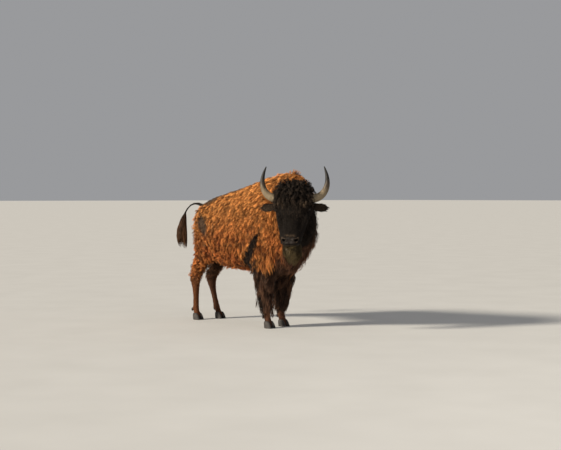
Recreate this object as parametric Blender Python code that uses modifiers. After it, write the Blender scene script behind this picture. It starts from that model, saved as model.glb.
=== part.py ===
"""A standing American plains bison, a young bull in its shaggy coat, life size.

Metres, +Z up. The floor is Z = 0, the body points along -Y and its left side is +X. The head
is turned to the animal's right. Flesh and coat are lofted as overlapping masses, joined by a
voxel remesh, and then parted with thin cuts into head, mop, neck, hump, trunk and legs. Horns,
ears, eyes, beard, tail, toes and dewclaws are pieces of their own, let into the flesh.
"""

import math

import bmesh
import bpy
from mathutils import Matrix, Vector

# Cuts and sockets
GAP = 0.0004  # clear space between neighbouring pieces
REACH = 0.6  # how far a cutting block runs past what it cuts
SLIVER = 0.00002  # edges shorter than this are closed up after a cut

# Mesh density
BODY_SIDES = 32  # points round a section of trunk, neck or head
LIMB_SIDES = 18  # points round a section of a leg
SMALL_SIDES = 12  # points round a section of the beard, tail, horns, ears and toes
VOXEL = 0.014
SMOOTHING = 6
FLESH_TRIANGLES = 1980

# The head's frame: the poll is the top of the skull between the horns
POLL = Vector((-0.187, -1.055, 1.43))
HEAD_YAW = math.radians(50)  # turned from straight ahead to the animal's right
HEAD_PITCH = math.radians(24)  # the face leans forward from upright by this much

# Where the hooves stand, as the middle of each coronet, and where each leg joins the trunk
HOOF_FRONT_RIGHT = Vector((-0.120, -0.560, 0))
HOOF_FRONT_LEFT = Vector((0.122, -0.500, 0))
HOOF_HIND_RIGHT = Vector((-0.150, 0.675, 0))
HOOF_HIND_LEFT = Vector((0.125, 0.630, 0))
FRONT_LEG_TOP = Vector((0.190, -0.485, 1.12))
HIND_LEG_TOP = Vector((0.140, 0.460, 1.18))

# Horn: it leaves the skull level, then sweeps up and in
HORN_ROOT = Vector((0.142, 0.0, -0.058))  # left, forward and up from the poll, head turned
HORN_LENGTH = 0.455
HORN_START = math.radians(-18)
HORN_TURN = math.radians(130)
HORN_EASE = 1.8  # how much of the turn comes early
HORN_LEAN = 0.10  # the tips' lean backwards, as a share of the rise
HORN_RADIUS = 0.050
HORN_TIP = 0.004

# Eye and ear, as left, forward and down the face from the poll
EYE = Vector((0.163, 0.030, 0.212))
EYE_RADIUS = 0.021
EAR_ROOT = Vector((0.165, -0.045, 0.150))
EAR_LENGTH = 0.175
EAR_HALF_WIDTH = 0.046
EAR_HALF_THICKNESS = 0.014

HOCK_HEIGHT = 0.43
HOCK_SWEEP = (-0.020, 0.082)  # the left hind foot is set forward, so its hock stands further back

TOE_HEIGHT = 0.072
TOE_SPLAY = 0.0275  # from the foot's middle to each toe's
DEWCLAW = Vector((0.024, 0.064, 0.112))  # outwards, behind the coronet's middle, and up
DEWCLAW_SIZE = Vector((0.013, 0.014, 0.020))


def clear_scene():
    for obj in list(bpy.data.objects):
        bpy.data.objects.remove(obj)


def material(name, colour, roughness):
    made = bpy.data.materials.new(name)
    made.use_nodes = True
    shader = made.node_tree.nodes["Principled BSDF"]
    shader.inputs["Base Color"].default_value = (*colour, 1)
    shader.inputs["Roughness"].default_value = roughness
    shader.inputs["Metallic"].default_value = 0
    return made


def new_object(name, mesh, collection):
    made = bpy.data.objects.new(name, mesh)
    collection.objects.link(made)
    return made


# Directions of the turned head: left, forward and up, level with the floor, and the same
# three leaning with the face.
def head_axes(pitch=0.0):
    left = Vector((math.cos(HEAD_YAW), -math.sin(HEAD_YAW), 0))
    ahead = Vector((-math.sin(HEAD_YAW), -math.cos(HEAD_YAW), 0))
    up = Vector((0, 0, 1))
    out = ahead * math.cos(pitch) + up * math.sin(pitch)
    down_face = ahead * math.sin(pitch) - up * math.cos(pitch)
    return left, out, down_face


def on_face(place):
    """The world place of left, forward and down the face from the poll."""
    left, out, down = head_axes(HEAD_PITCH)
    return POLL + left * place.x + out * place.y + down * place.z


def ring(centre, across, up, half_width, rise, drop, crown=1.0, keel=1.0, sides=BODY_SIDES):
    """A closed section. crown and keel over 1 pinch it towards its top and its bottom."""
    points = []
    for i in range(sides):
        angle = 2 * math.pi * i / sides
        c, s = math.cos(angle), math.sin(angle)
        pinch, height = (crown, rise) if s > 0 else (keel, drop)
        side = half_width * math.copysign(abs(c) ** pinch, c)
        points.append(centre + across * side + up * (height * s))
    return points


def loft(bm, rings):
    """Joins rings of equal count with quads and closes both ends."""
    rows = [[bm.verts.new(point) for point in points] for points in rings]
    count = len(rows[0])
    for low, high in zip(rows, rows[1:]):
        for i in range(count):
            j = (i + 1) % count
            bm.faces.new((low[i], low[j], high[j], high[i]))
    bm.faces.new(rows[0][::-1])
    bm.faces.new(rows[-1])


def finish_loft(bm):
    bmesh.ops.recalc_face_normals(bm, faces=bm.faces)


def lofted(name, rings, collection):
    """A loft as an object of its own, in triangles, so that its socket matches it exactly."""
    bm = bmesh.new()
    loft(bm, rings)
    finish_loft(bm)
    bmesh.ops.triangulate(bm, faces=bm.faces)
    mesh = bpy.data.meshes.new(name)
    bm.to_mesh(mesh)
    bm.free()
    return new_object(name, mesh, collection)


def blended(stations, steps=4):
    """More stations, by a smooth curve through each of their columns."""
    rows = []
    last = len(stations) - 1
    for i in range(last):
        before, here = stations[max(i - 1, 0)], stations[i]
        after, beyond = stations[i + 1], stations[min(i + 2, last)]
        for step in range(steps):
            t = step / steps
            row = []
            for a, b, c, d in zip(before, here, after, beyond):
                bend = (2 * a - 5 * b + 4 * c - d) * t * t + (3 * (b - c) + d - a) * t ** 3
                row.append(b + 0.5 * ((c - a) * t + bend))
            rows.append(row)
    rows.append(list(stations[last]))
    return rows


# Flesh and coat, out to the tips of the wool


def trunk_rings():
    """Rump to throat. Each row: x, y, turn in degrees, lowest, widest and highest z, half
    width, and how far the top is pinched into a ridge."""
    rows = (
        (0.00, 0.770, 0, 0.99, 1.10, 1.19, 0.050, 1.0),
        (0.00, 0.738, 0, 0.87, 1.09, 1.275, 0.155, 1.0),
        (0.00, 0.645, 0, 0.76, 1.06, 1.328, 0.234, 1.0),
        (0.00, 0.470, 0, 0.65, 1.00, 1.385, 0.278, 1.05),
        (0.00, 0.230, 0, 0.590, 0.98, 1.435, 0.322, 1.1),
        (0.00, -0.020, 0, 0.572, 0.96, 1.490, 0.350, 1.15),
        (0.00, -0.270, 0, 0.570, 0.96, 1.550, 0.360, 1.2),
        (0.00, -0.500, 0, 0.550, 0.98, 1.605, 0.340, 1.25),
        (0.00, -0.680, 2, 0.560, 1.00, 1.640, 0.300, 1.2),
        (0.00, -0.810, 10, 0.630, 0.99, 1.653, 0.246, 1.1),
        (-0.03, -0.920, 22, 0.745, 0.99, 1.642, 0.206, 1.05),
        (-0.08, -1.010, 34, 0.840, 1.02, 1.575, 0.180, 1.0),
        (-0.13, -1.070, 44, 0.900, 1.08, 1.440, 0.150, 1.0),
    )
    rings = []
    for x, y, turn, low, wide, high, half, crown in blended(rows):
        turned = math.radians(turn)
        across = Vector((math.cos(turned), -math.sin(turned), 0))
        centre = Vector((x, y, wide))
        up = Vector((0, 0, 1))
        rings.append(ring(centre, across, up, half, high - wide, wide - low, crown, 0.9))
    return rings


def head_rings():
    """Top of the mop to the chin. Each row: down the face, half width, forward, backward."""
    rows = (
        (-0.125, 0.055, 0.045, 0.050),
        (-0.105, 0.138, 0.104, 0.104),
        (-0.050, 0.205, 0.152, 0.152),
        (0.020, 0.228, 0.175, 0.170),
        (0.090, 0.225, 0.172, 0.185),
        (0.150, 0.203, 0.150, 0.195),
        (0.210, 0.187, 0.118, 0.200),
        (0.300, 0.170, 0.095, 0.185),
        (0.400, 0.147, 0.080, 0.158),
        (0.480, 0.126, 0.074, 0.132),
        (0.550, 0.114, 0.070, 0.112),
        (0.600, 0.100, 0.052, 0.088),
        (0.622, 0.055, 0.030, 0.050),
    )
    left, out, down = head_axes(HEAD_PITCH)
    return [
        ring(POLL + down * along, left, out, half, ahead, behind, 0.85, 1.0)
        for along, half, ahead, behind in blended(rows)
    ]


def beard_rings():
    """Chin to the point of the beard. Each row: z, half width, half depth."""
    left, out, _ = head_axes()
    root = on_face(Vector((0, -0.075, 0.475)))
    rows = (
        (0.940, 0.078, 0.070),
        (0.880, 0.092, 0.088),
        (0.810, 0.086, 0.082),
        (0.745, 0.062, 0.056),
        (0.695, 0.032, 0.030),
        (0.665, 0.010, 0.010),
    )
    return [
        ring(Vector((root.x, root.y, z)), left, out, half, deep, deep, sides=SMALL_SIDES)
        for z, half, deep in blended(rows, steps=2)
    ]


def leg_rings(hoof, top, side, rows, bulk=1.0, sweep=(0.0, 0.0)):
    """Coronet to trunk. Each row: z, share of the way from over the hoof to the top, offset
    backwards, half width and half depth. Bulk widens the leg, and sweep moves its hock."""
    rings = []
    for z, share, back, half, deep in blended(rows, steps=3):
        near_hock = max(0.0, 1 - abs(z - HOCK_HEIGHT) / HOCK_HEIGHT)
        moved = near_hock * near_hock * (3 - 2 * near_hock)
        x = hoof.x + (side * top.x - hoof.x) * share + sweep[0] * moved
        y = hoof.y + (top.y - hoof.y) * share + back + sweep[1] * moved
        centre = Vector((x, y, z))
        half *= bulk
        rings.append(
            ring(centre, Vector((1, 0, 0)), Vector((0, 1, 0)), half, deep, deep, sides=LIMB_SIDES)
        )
    return rings


# The forelegs wear long chaps down past the knee, fullest behind.
FRONT_LEG = (
    (0.050, 0.00, 0.002, 0.046, 0.048),
    (0.080, 0.00, 0.008, 0.050, 0.052),
    (0.110, 0.00, 0.022, 0.044, 0.045),
    (0.145, 0.00, 0.032, 0.047, 0.052),
    (0.185, 0.00, 0.028, 0.044, 0.050),
    (0.235, 0.05, 0.030, 0.066, 0.080),
    (0.300, 0.12, 0.032, 0.094, 0.114),
    (0.400, 0.25, 0.030, 0.112, 0.138),
    (0.520, 0.42, 0.022, 0.122, 0.152),
    (0.660, 0.65, 0.010, 0.130, 0.168),
    (0.820, 0.90, 0.005, 0.135, 0.190),
    (0.980, 1.00, 0.000, 0.130, 0.200),
    (1.120, 1.00, 0.000, 0.090, 0.150),
)
# The hind legs are woolly to the hock and short haired below it.
HIND_LEG = (
    (0.050, 0.00, 0.002, 0.045, 0.048),
    (0.080, 0.00, 0.008, 0.049, 0.051),
    (0.110, 0.00, 0.022, 0.043, 0.044),
    (0.145, 0.00, 0.034, 0.046, 0.052),
    (0.190, 0.02, 0.033, 0.042, 0.049),
    (0.280, 0.06, 0.042, 0.042, 0.051),
    (0.380, 0.12, 0.062, 0.050, 0.063),
    (0.460, 0.20, 0.088, 0.064, 0.088),
    (0.530, 0.32, 0.086, 0.078, 0.112),
    (0.620, 0.50, 0.045, 0.098, 0.148),
    (0.740, 0.75, 0.015, 0.112, 0.190),
    (0.880, 0.95, 0.015, 0.130, 0.245),
    (1.030, 1.00, 0.015, 0.128, 0.245),
    (1.180, 1.00, 0.000, 0.085, 0.170),
)


def tail_rings():
    """Held out from the rump in an arch, then hanging in a tuft. Each row: x, y, z, radius."""
    rows = (
        (0.000, 0.690, 1.215, 0.048),
        (0.000, 0.780, 1.278, 0.034),
        (-0.014, 0.900, 1.302, 0.026),
        (-0.036, 1.000, 1.266, 0.023),
        (-0.054, 1.055, 1.188, 0.025),
        (-0.060, 1.080, 1.100, 0.042),
        (-0.066, 1.095, 1.010, 0.058),
        (-0.066, 1.100, 0.920, 0.056),
        (-0.063, 1.092, 0.840, 0.040),
        (-0.060, 1.085, 0.785, 0.014),
    )
    path = [(Vector(row[:3]), row[3]) for row in blended(rows, steps=2)]
    rings = []
    for i, (centre, radius) in enumerate(path):
        ahead, behind = path[min(i + 1, len(path) - 1)][0], path[max(i - 1, 0)][0]
        along = (ahead - behind).normalized()
        side = Vector((1, 0, 0))
        up = along.cross(side).normalized()
        rings.append(ring(centre, side, up, radius, radius, radius, sides=SMALL_SIDES))
    return rings


def whole_flesh(collection):
    """All the flesh and wool as one closed skin."""
    bm = bmesh.new()
    loft(bm, trunk_rings())
    loft(bm, head_rings())
    for hoof, top, rows, bulk, sweep in (
        (HOOF_FRONT_RIGHT, FRONT_LEG_TOP, FRONT_LEG, 0.96, (0, 0)),
        (HOOF_FRONT_LEFT, FRONT_LEG_TOP, FRONT_LEG, 1.12, (0, 0)),
        (HOOF_HIND_RIGHT, HIND_LEG_TOP, HIND_LEG, 1.0, (0, 0)),
        (HOOF_HIND_LEFT, HIND_LEG_TOP, HIND_LEG, 1.0, HOCK_SWEEP),
    ):
        loft(bm, leg_rings(hoof, top, math.copysign(1, hoof.x), rows, bulk, sweep))
    finish_loft(bm)
    mesh = bpy.data.meshes.new("flesh")
    bm.to_mesh(mesh)
    bm.free()
    flesh = new_object("flesh", mesh, collection)
    remesh = flesh.modifiers.new("join", "REMESH")
    remesh.mode = "VOXEL"
    remesh.voxel_size = VOXEL
    smooth = flesh.modifiers.new("blend", "SMOOTH")
    smooth.factor = 0.5
    smooth.iterations = SMOOTHING
    apply_modifiers(flesh)
    thin = flesh.modifiers.new("thin", "DECIMATE")
    thin.ratio = FLESH_TRIANGLES / (2 * len(flesh.data.polygons))
    thin.use_collapse_triangulate = True
    apply_modifiers(flesh)
    return flesh


def apply_modifiers(obj):
    bpy.context.view_layer.update()
    graph = bpy.context.evaluated_depsgraph_get()
    mesh = bpy.data.meshes.new_from_object(obj.evaluated_get(graph))
    obj.modifiers.clear()
    obj.data = mesh


# Pieces let into the flesh


def horn_rings(side, steps=16):
    left, ahead, _ = head_axes()
    up = Vector((0, 0, 1))
    place = POLL + left * (side * HORN_ROOT.x) + ahead * HORN_ROOT.y + up * HORN_ROOT.z
    stride = HORN_LENGTH / steps
    rings = []
    for i in range(steps + 1):
        t = i / steps
        angle = HORN_START + HORN_TURN * (1 - (1 - t) ** HORN_EASE)
        rise = up - ahead * HORN_LEAN
        along = (left * (side * math.cos(angle)) + rise * math.sin(angle)).normalized()
        across = along.cross(ahead).normalized()
        radius = HORN_TIP + (HORN_RADIUS - HORN_TIP) * (1 - t) ** 0.8
        thick = along.cross(across)
        rings.append(ring(place, across, thick, radius, radius, radius, sides=SMALL_SIDES))
        place = place + along * stride
    return rings


def ear_rings(side):
    """A leaf held level, out from the head, its open side facing forward."""
    left, ahead, _ = head_axes()
    up = Vector((0, 0, 1))
    root = on_face(Vector((side * EAR_ROOT.x, EAR_ROOT.y, EAR_ROOT.z)))
    outline = ((0.00, 0.44), (0.18, 0.66), (0.40, 0.96), (0.62, 1.00), (0.80, 0.88), (0.92, 0.62), (0.99, 0.25))
    rings = []
    for t, width in blended(outline, steps=2):
        centre = root + left * (side * EAR_LENGTH * t) - up * (0.012 * t) - ahead * (0.02 * t * t)
        half = EAR_HALF_WIDTH * width
        thick = EAR_HALF_THICKNESS * (0.4 + 0.6 * width)
        rings.append(ring(centre, up, ahead, half, thick, thick, sides=SMALL_SIDES))
    return rings


def toe_rings(hoof, offset):
    """One toe, flat on the floor and sloping back to the coronet. Each row: z, back, half
    width, length ahead and behind."""
    rows = (
        (0.000, 0.000, 0.0255, 0.062, 0.044),
        (0.012, 0.002, 0.0255, 0.061, 0.045),
        (0.045, 0.010, 0.0225, 0.050, 0.044),
        (TOE_HEIGHT, 0.018, 0.0165, 0.034, 0.034),
    )
    across, forward = Vector((1, 0, 0)), Vector((0, -1, 0))
    return [
        ring(
            Vector((hoof.x + offset, hoof.y + back - 0.012, z)),
            across, forward, half, ahead, behind, 1.15, 0.8, SMALL_SIDES,
        )
        for z, back, half, ahead, behind in rows
    ]


def ball(name, centre, size, collection, segments=12):
    bm = bmesh.new()
    bmesh.ops.create_uvsphere(bm, u_segments=segments, v_segments=segments * 2 // 3, radius=1)
    bm.transform(Matrix.Translation(centre) @ Matrix.Diagonal((*size, 1)))
    mesh = bpy.data.meshes.new(name)
    bm.to_mesh(mesh)
    bm.free()
    return new_object(name, mesh, collection)


def carve(obj, cutter, operation="DIFFERENCE"):
    """Cuts obj by a closed cutter, and clears the slivers that the cut leaves."""
    cut = obj.modifiers.new("cut", "BOOLEAN")
    cut.operation = operation
    cut.object = cutter
    apply_modifiers(obj)
    bm = bmesh.new()
    bm.from_mesh(obj.data)
    bmesh.ops.remove_doubles(bm, verts=bm.verts, dist=SLIVER)
    bmesh.ops.dissolve_degenerate(bm, edges=bm.edges, dist=SLIVER)
    bmesh.ops.triangulate(bm, faces=bm.faces)
    bm.to_mesh(obj.data)
    bm.free()


def grown(obj, cutters):
    """A copy of a piece or a cutter that is larger by GAP all round."""
    copy = new_object(obj.name + "_gap", obj.data.copy(), cutters)
    bm = bmesh.new()
    bm.from_mesh(copy.data)
    moves = [vertex.normal * (GAP * vertex.calc_shell_factor()) for vertex in bm.verts]
    for vertex, move in zip(bm.verts, moves):
        vertex.co += move
    bm.to_mesh(copy.data)
    bm.free()
    return copy


def head_pieces(parts):
    made = [lofted("beard", beard_rings(), parts)]
    for side, name in ((1, "left"), (-1, "right")):
        made.append(lofted("horn_" + name, horn_rings(side), parts))
        made.append(lofted("ear_" + name, ear_rings(side), parts))
        eye = on_face(Vector((side * EYE.x, EYE.y, EYE.z)))
        made.append(ball("eye_" + name, eye, (EYE_RADIUS,) * 3, parts))
    return made


def foot_pieces(parts):
    made = []
    for name, hoof in (
        ("front_right", HOOF_FRONT_RIGHT),
        ("front_left", HOOF_FRONT_LEFT),
        ("hind_right", HOOF_HIND_RIGHT),
        ("hind_left", HOOF_HIND_LEFT),
    ):
        for side, letter in ((-1, "a"), (1, "b")):
            made.append(lofted(f"toe_{name}_{letter}", toe_rings(hoof, side * TOE_SPLAY), parts))
            claw = hoof + Vector((side * DEWCLAW.x, DEWCLAW.y, DEWCLAW.z))
            made.append(ball(f"dewclaw_{name}_{letter}", claw, DEWCLAW_SIZE, parts, 9))
    return made


# Parting the flesh


def block(name, outline, origin, across, up, along, cutters):
    """A prism on an outline of (across, up) points, drawn from its origin to origin + along."""
    bm = bmesh.new()
    corners = [bm.verts.new(origin + across * a + up * b) for a, b in outline]
    face = bm.faces.new(corners)
    made = bmesh.ops.extrude_face_region(bm, geom=[face])["geom"]
    moved = [item for item in made if isinstance(item, bmesh.types.BMVert)]
    bmesh.ops.translate(bm, vec=along, verts=moved)
    bmesh.ops.recalc_face_normals(bm, faces=bm.faces)
    mesh = bpy.data.meshes.new(name)
    bm.to_mesh(mesh)
    bm.free()
    return new_object(name, mesh, cutters)


def part_off(flesh, name, cutter, parts, cutters):
    """Takes what lies in the cutter as a new piece, and leaves GAP between it and the rest."""
    piece = new_object(name, flesh.data.copy(), parts)
    carve(piece, cutter, "INTERSECT")
    carve(flesh, grown(cutter, cutters))


def leg_block(name, side, inner, y_low, y_high, root, slope, cutters):
    """Everything on one side, from inner outwards, under a plane that rises by slope from
    root at the midline."""
    outline = (
        (inner, -0.1),
        (side * REACH, -0.1),
        (side * REACH, root + slope * REACH),
        (inner, root),
    )
    across, up = Vector((1, 0, 0)), Vector((0, 0, 1))
    along = Vector((0, y_high - y_low, 0))
    return block(name, outline, Vector((0, y_low, 0)), across, up, along, cutters)


def head_block(name, behind, ahead, low, high, half, cutters):
    """A box in line with the turned head, from behind to ahead of the poll."""
    left, forward, _ = head_axes()
    outline = ((-half, low), (half, low), (half, high), (-half, high))
    origin = Vector((POLL.x, POLL.y, 0)) + forward * behind
    along = forward * (ahead - behind)
    return block(name, outline, origin, left, Vector((0, 0, 1)), along, cutters)


def body_block(name, half, y_low, y_high, low, high, cutters):
    outline = ((-half, low), (half, low), (half, high), (-half, high))
    across, up = Vector((1, 0, 0)), Vector((0, 0, 1))
    along = Vector((0, y_high - y_low, 0))
    return block(name, outline, Vector((0, y_low, 0)), across, up, along, cutters)


def part_flesh(flesh, parts, cutters):
    """Parts the flesh from the head back. What is left is the trunk. The right legs go first,
    so the cuts for the left ones may run past the midline."""
    chin, throat = 0.825, -0.120
    past = -0.01
    cuts = (
        ("mop", head_block("cut_mop", throat, 0.6, 1.435, 2.0, 0.28, cutters)),
        ("head", head_block("cut_head", throat, 0.6, chin, 1.435, 0.28, cutters)),
        ("neck", body_block("cut_neck", 0.7, -1.5, -0.715, 0.3, 2.0, cutters)),
        ("leg_front_right", leg_block("cut_fr", -1, 0, -0.80, -0.27, 0.575, 1.1, cutters)),
        ("leg_front_left", leg_block("cut_fl", 1, past, -0.80, -0.27, 0.575, 1.1, cutters)),
        ("leg_hind_right", leg_block("cut_hr", -1, 0, 0.27, 1.2, 0.575, 1.8, cutters)),
        ("leg_hind_left", leg_block("cut_hl", 1, past, 0.27, 1.2, 0.575, 1.8, cutters)),
        ("hump", body_block("cut_hump", 0.7, -1.5, 0.05, 1.34, 2.0, cutters)),
    )
    for name, cutter in cuts:
        part_off(flesh, name, cutter, parts, cutters)
    flesh.name = "trunk"


def dress(parts):
    """Gives each node its material and shades the round ones smooth."""
    looks = {
        "wool": material("wool", (0.30, 0.12, 0.045), 0.95),
        "dark_hair": material("dark_hair", (0.035, 0.024, 0.018), 0.9),
        "brown_hair": material("brown_hair", (0.10, 0.055, 0.035), 0.9),
        "horn": material("horn", (0.16, 0.14, 0.11), 0.45),
        "eye": material("eye", (0.015, 0.008, 0.005), 0.08),
        "hoof": material("hoof", (0.03, 0.027, 0.025), 0.6),
    }
    wearing = {
        "trunk": "wool",
        "hump": "wool",
        "neck": "wool",
        "head": "dark_hair",
        "mop": "dark_hair",
        "beard": "dark_hair",
        "tail": "dark_hair",
        "ear": "dark_hair",
        "leg": "brown_hair",
        "horn": "horn",
        "eye": "eye",
        "toe": "hoof",
        "dewclaw": "hoof",
    }
    for obj in parts.objects:
        obj.data.materials.clear()
        obj.data.materials.append(looks[wearing[obj.name.split("_")[0]]])
        obj.data.shade_smooth()
        obj.data.set_sharp_from_angle(angle=math.radians(50))


def centre_on_floor(parts):
    """Moves every piece so that the origin is under the middle of the animal's box."""
    points = [vertex.co for obj in parts.objects for vertex in obj.data.vertices]
    lows = [min(point[axis] for point in points) for axis in range(3)]
    highs = [max(point[axis] for point in points) for axis in range(3)]
    middle = Vector(((lows[0] + highs[0]) / 2, (lows[1] + highs[1]) / 2, lows[2]))
    for obj in parts.objects:
        obj.data.transform(Matrix.Translation(-middle))


def main():
    clear_scene()
    scene = bpy.context.scene.collection
    parts = bpy.data.collections.new("bison")
    cutters = bpy.data.collections.new("cutters")
    cutters.hide_render = True
    scene.children.link(parts)
    scene.children.link(cutters)
    flesh = whole_flesh(parts)
    tail = lofted("tail", tail_rings(), parts)
    for piece in head_pieces(parts) + foot_pieces(parts) + [tail]:
        carve(flesh, grown(piece, cutters))
    part_flesh(flesh, parts, cutters)
    tuft = body_block("cut_tuft", 0.3, 0.8, 1.4, 0.5, 1.13, cutters)
    part_off(tail, "tail_tuft", tuft, parts, cutters)
    for cutter in cutters.objects:
        cutter.hide_render = True
        cutter.display_type = "WIRE"
    dress(parts)
    centre_on_floor(parts)


main()
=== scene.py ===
"""The looks of the standing bison: one skin over its flesh, a coat of solid tufts in locks,
eyes, horns and hooves, on a plain pale floor in soft light.

Metres, +Z up. The body points along -Y, its left is +X, and the head is turned to its right.
"""

import math

import bmesh
import bpy
import numpy as np
from mathutils import Matrix, Vector
from mathutils.bvhtree import BVHTree
from mathutils.kdtree import KDTree


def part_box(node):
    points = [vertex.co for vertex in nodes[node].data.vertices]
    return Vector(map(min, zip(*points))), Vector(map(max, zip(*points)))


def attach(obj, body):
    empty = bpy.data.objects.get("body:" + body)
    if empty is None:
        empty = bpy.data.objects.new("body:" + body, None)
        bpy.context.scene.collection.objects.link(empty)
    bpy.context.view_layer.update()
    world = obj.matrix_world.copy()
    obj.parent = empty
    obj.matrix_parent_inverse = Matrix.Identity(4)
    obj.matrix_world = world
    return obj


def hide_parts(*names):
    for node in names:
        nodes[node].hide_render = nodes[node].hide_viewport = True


SEED = 11
UP = np.array((0.0, 0.0, 1.0))
MIDLINE = 0.046  # the body's middle plane, as x

# The head, in its own frame: left, out of the face and down the face from the poll
HEAD_PITCH = math.radians(24)
EYE = (0.163, 0.030, 0.212)
EYE_RADIUS = 0.021
EAR_ROOT = (0.165, -0.045, 0.150)
EAR_LENGTH = 0.175
EAR_HALF_WIDTH = 0.041
EAR_CUP = 0.013
HORN_ROOT = (0.142, 0.0, -0.058)  # left, forward and up from the poll
HORN_LENGTH = 0.455
HORN_START = math.radians(-18)
HORN_TURN = math.radians(130)
HORN_EASE = 1.8
HORN_LAG = 0.027  # how late the turn comes, as a share of the horn
HORN_LEAN = 0.10
HORN_RADIUS = 0.050
HORN_TIP = 0.004

SKIN_VOXEL = 0.0145
PATCH = 0.003  # side of a tuft's patch on the unwrapped skin
TUFT_THICKNESS = 0.55  # against its width
LOCKS = 44  # in a bundle of hanging hair

# Face details: left or right of the midline, and down from the poll
NOSTRIL_SIDE = 0.064
NOSTRIL_DOWN = 0.553
MOUTH_DOWN = 0.597
SLIT_HALF_LENGTH = 0.0180
SLIT_HALF_HEIGHT = 0.0095

CAMERA_AZIMUTH = math.radians(-38)
CAMERA_DISTANCE = 13.5
CAMERA_HEIGHT = 1.374
CAMERA_PITCH = math.atan(0.0224)
CAMERA_YAW = math.atan(0.0272)
CAMERA_LENS = 80.2
SUN_FROM = (-0.85, 0.28, 0.42)
SUN_STRENGTH = 5.5
SKY_STRENGTH = 0.37
FILL_POWER = 95
FLOOR_HALF = 400

LEGS = ("leg_front_left", "leg_front_right", "leg_hind_left", "leg_hind_right")
FEET = ("front_left", "front_right", "hind_left", "hind_right")
TOES = tuple(f"toe_{foot}_{letter}" for foot in FEET for letter in "ab")
CLAWS = tuple(f"dewclaw_{foot}_{letter}" for foot in FEET for letter in "ab")
FLESH = ("trunk", "hump", "neck", "head", "mop", "tail") + LEGS + TOES + CLAWS
KINDS = ("trunk", "hump", "neck", "head", "mop", "leg_front", "leg_hind", "tail", "foot", "ear")
MARKS = ("dark", "red", "shed", "olive", "tan")

# What each kind of flesh wears: how deep the skin lies under the coat's tips, a tuft's length
# and width, tufts to the square metre, and the radius of its curl
WEAR = {
    "trunk": (0.020, 0.042, 0.0034, 22500, 0.0050),
    "hump": (0.024, 0.050, 0.0034, 23000, 0.0045),
    "neck": (0.032, 0.052, 0.0034, 21500, 0.0055),
    "head": (0.006, 0.015, 0.0013, 60000, 0.0),
    "mop": (0.052, 0.062, 0.0044, 10500, 0.0095),
    "leg_front": (0.045, 0.130, 0.0042, 11500, 0.0035),
    "leg_hind": (0.024, 0.046, 0.0036, 19000, 0.0055),
    "tail": (0.006, 0.026, 0.0020, 50000, 0.0),
    "foot": (0.004, 0.010, 0.0025, 0, 0.0),
    "ear": (0.009, 0.030, 0.0020, 55000, 0.0),
}


def smoothstep(low, high, x):
    t = np.clip((x - low) / (high - low), 0, 1)
    return t * t * (3 - 2 * t)


def hill(x, width):
    return np.exp(-((x / width) ** 2))


def unit(vectors):
    length = np.linalg.norm(vectors, axis=-1, keepdims=True)
    return vectors / np.maximum(length, 1e-9)


def ripple(points, scale, seed):
    """A smooth random field, about -1 to 1, whose waves are scale long."""
    rng = np.random.default_rng(seed)
    waves = unit(rng.normal(size=(9, 3))) * (2 * math.pi / scale)
    waves *= rng.uniform(0.6, 1.5, (9, 1))
    return np.sin(points @ waves.T + rng.uniform(0, 6.28, 9)).sum(axis=1) / 3.2


class Head:
    """The turned head's frame, found from the eyes."""

    def __init__(self):
        eyes = [np.mean(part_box("eye_" + side), axis=0) for side in ("left", "right")]
        self.left = unit(eyes[0] - eyes[1])
        self.ahead = np.cross(self.left, UP)
        self.out = self.ahead * math.cos(HEAD_PITCH) + UP * math.sin(HEAD_PITCH)
        self.down = self.ahead * math.sin(HEAD_PITCH) - UP * math.cos(HEAD_PITCH)
        middle = (eyes[0] + eyes[1]) / 2
        self.poll = middle - self.out * EYE[1] - self.down * EYE[2]

    def place(self, left, out, down):
        return self.poll + self.left * left + self.out * out + self.down * down

    def coords(self, points):
        offset = points - self.poll
        return offset @ self.left, offset @ self.out, offset @ self.down


# Mesh in arrays


class Surface:
    """A triangle mesh in arrays: points and the three corners of each triangle."""

    def __init__(self, points, triangles):
        self.points = points
        self.triangles = triangles

    def normals(self):
        a, b, c = (self.points[self.triangles[:, i]] for i in range(3))
        face = np.cross(b - a, c - a)
        total = np.zeros_like(self.points)
        for i in range(3):
            for axis in range(3):
                total[:, axis] += np.bincount(
                    self.triangles[:, i], face[:, axis], minlength=len(self.points)
                )
        return unit(total)

    def blurred(self, values, rounds):
        """Each value averaged with its neighbours' along the edges, so many times over."""
        flat = values.reshape(len(values), -1).astype(float)
        start = np.concatenate([self.triangles[:, i] for i in (0, 1, 2, 1, 2, 0)])
        end = np.concatenate([self.triangles[:, i] for i in (1, 2, 0, 0, 1, 2)])
        count = np.maximum(np.bincount(start, minlength=len(flat)), 1)
        for _ in range(rounds):
            for column in range(flat.shape[1]):
                total = np.bincount(start, flat[end, column], minlength=len(flat))
                flat[:, column] = total / count
        return flat.reshape(values.shape)


def arrays(mesh):
    points = np.empty(len(mesh.vertices) * 3)
    mesh.vertices.foreach_get("co", points)
    mesh.calc_loop_triangles()
    triangles = np.empty(len(mesh.loop_triangles) * 3, int)
    mesh.loop_triangles.foreach_get("vertices", triangles)
    return Surface(points.reshape(-1, 3), triangles.reshape(-1, 3))


def new_mesh(name, points, triangles):
    mesh = bpy.data.meshes.new(name)
    mesh.vertices.add(len(points))
    mesh.vertices.foreach_set("co", points.astype(np.float32).ravel())
    mesh.loops.add(len(triangles) * 3)
    mesh.loops.foreach_set("vertex_index", triangles.astype(np.int32).ravel())
    mesh.polygons.add(len(triangles))
    mesh.polygons.foreach_set("loop_start", np.arange(0, len(triangles) * 3, 3, dtype=np.int32))
    mesh.update(calc_edges=True)
    mesh.shade_smooth()
    return mesh


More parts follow.
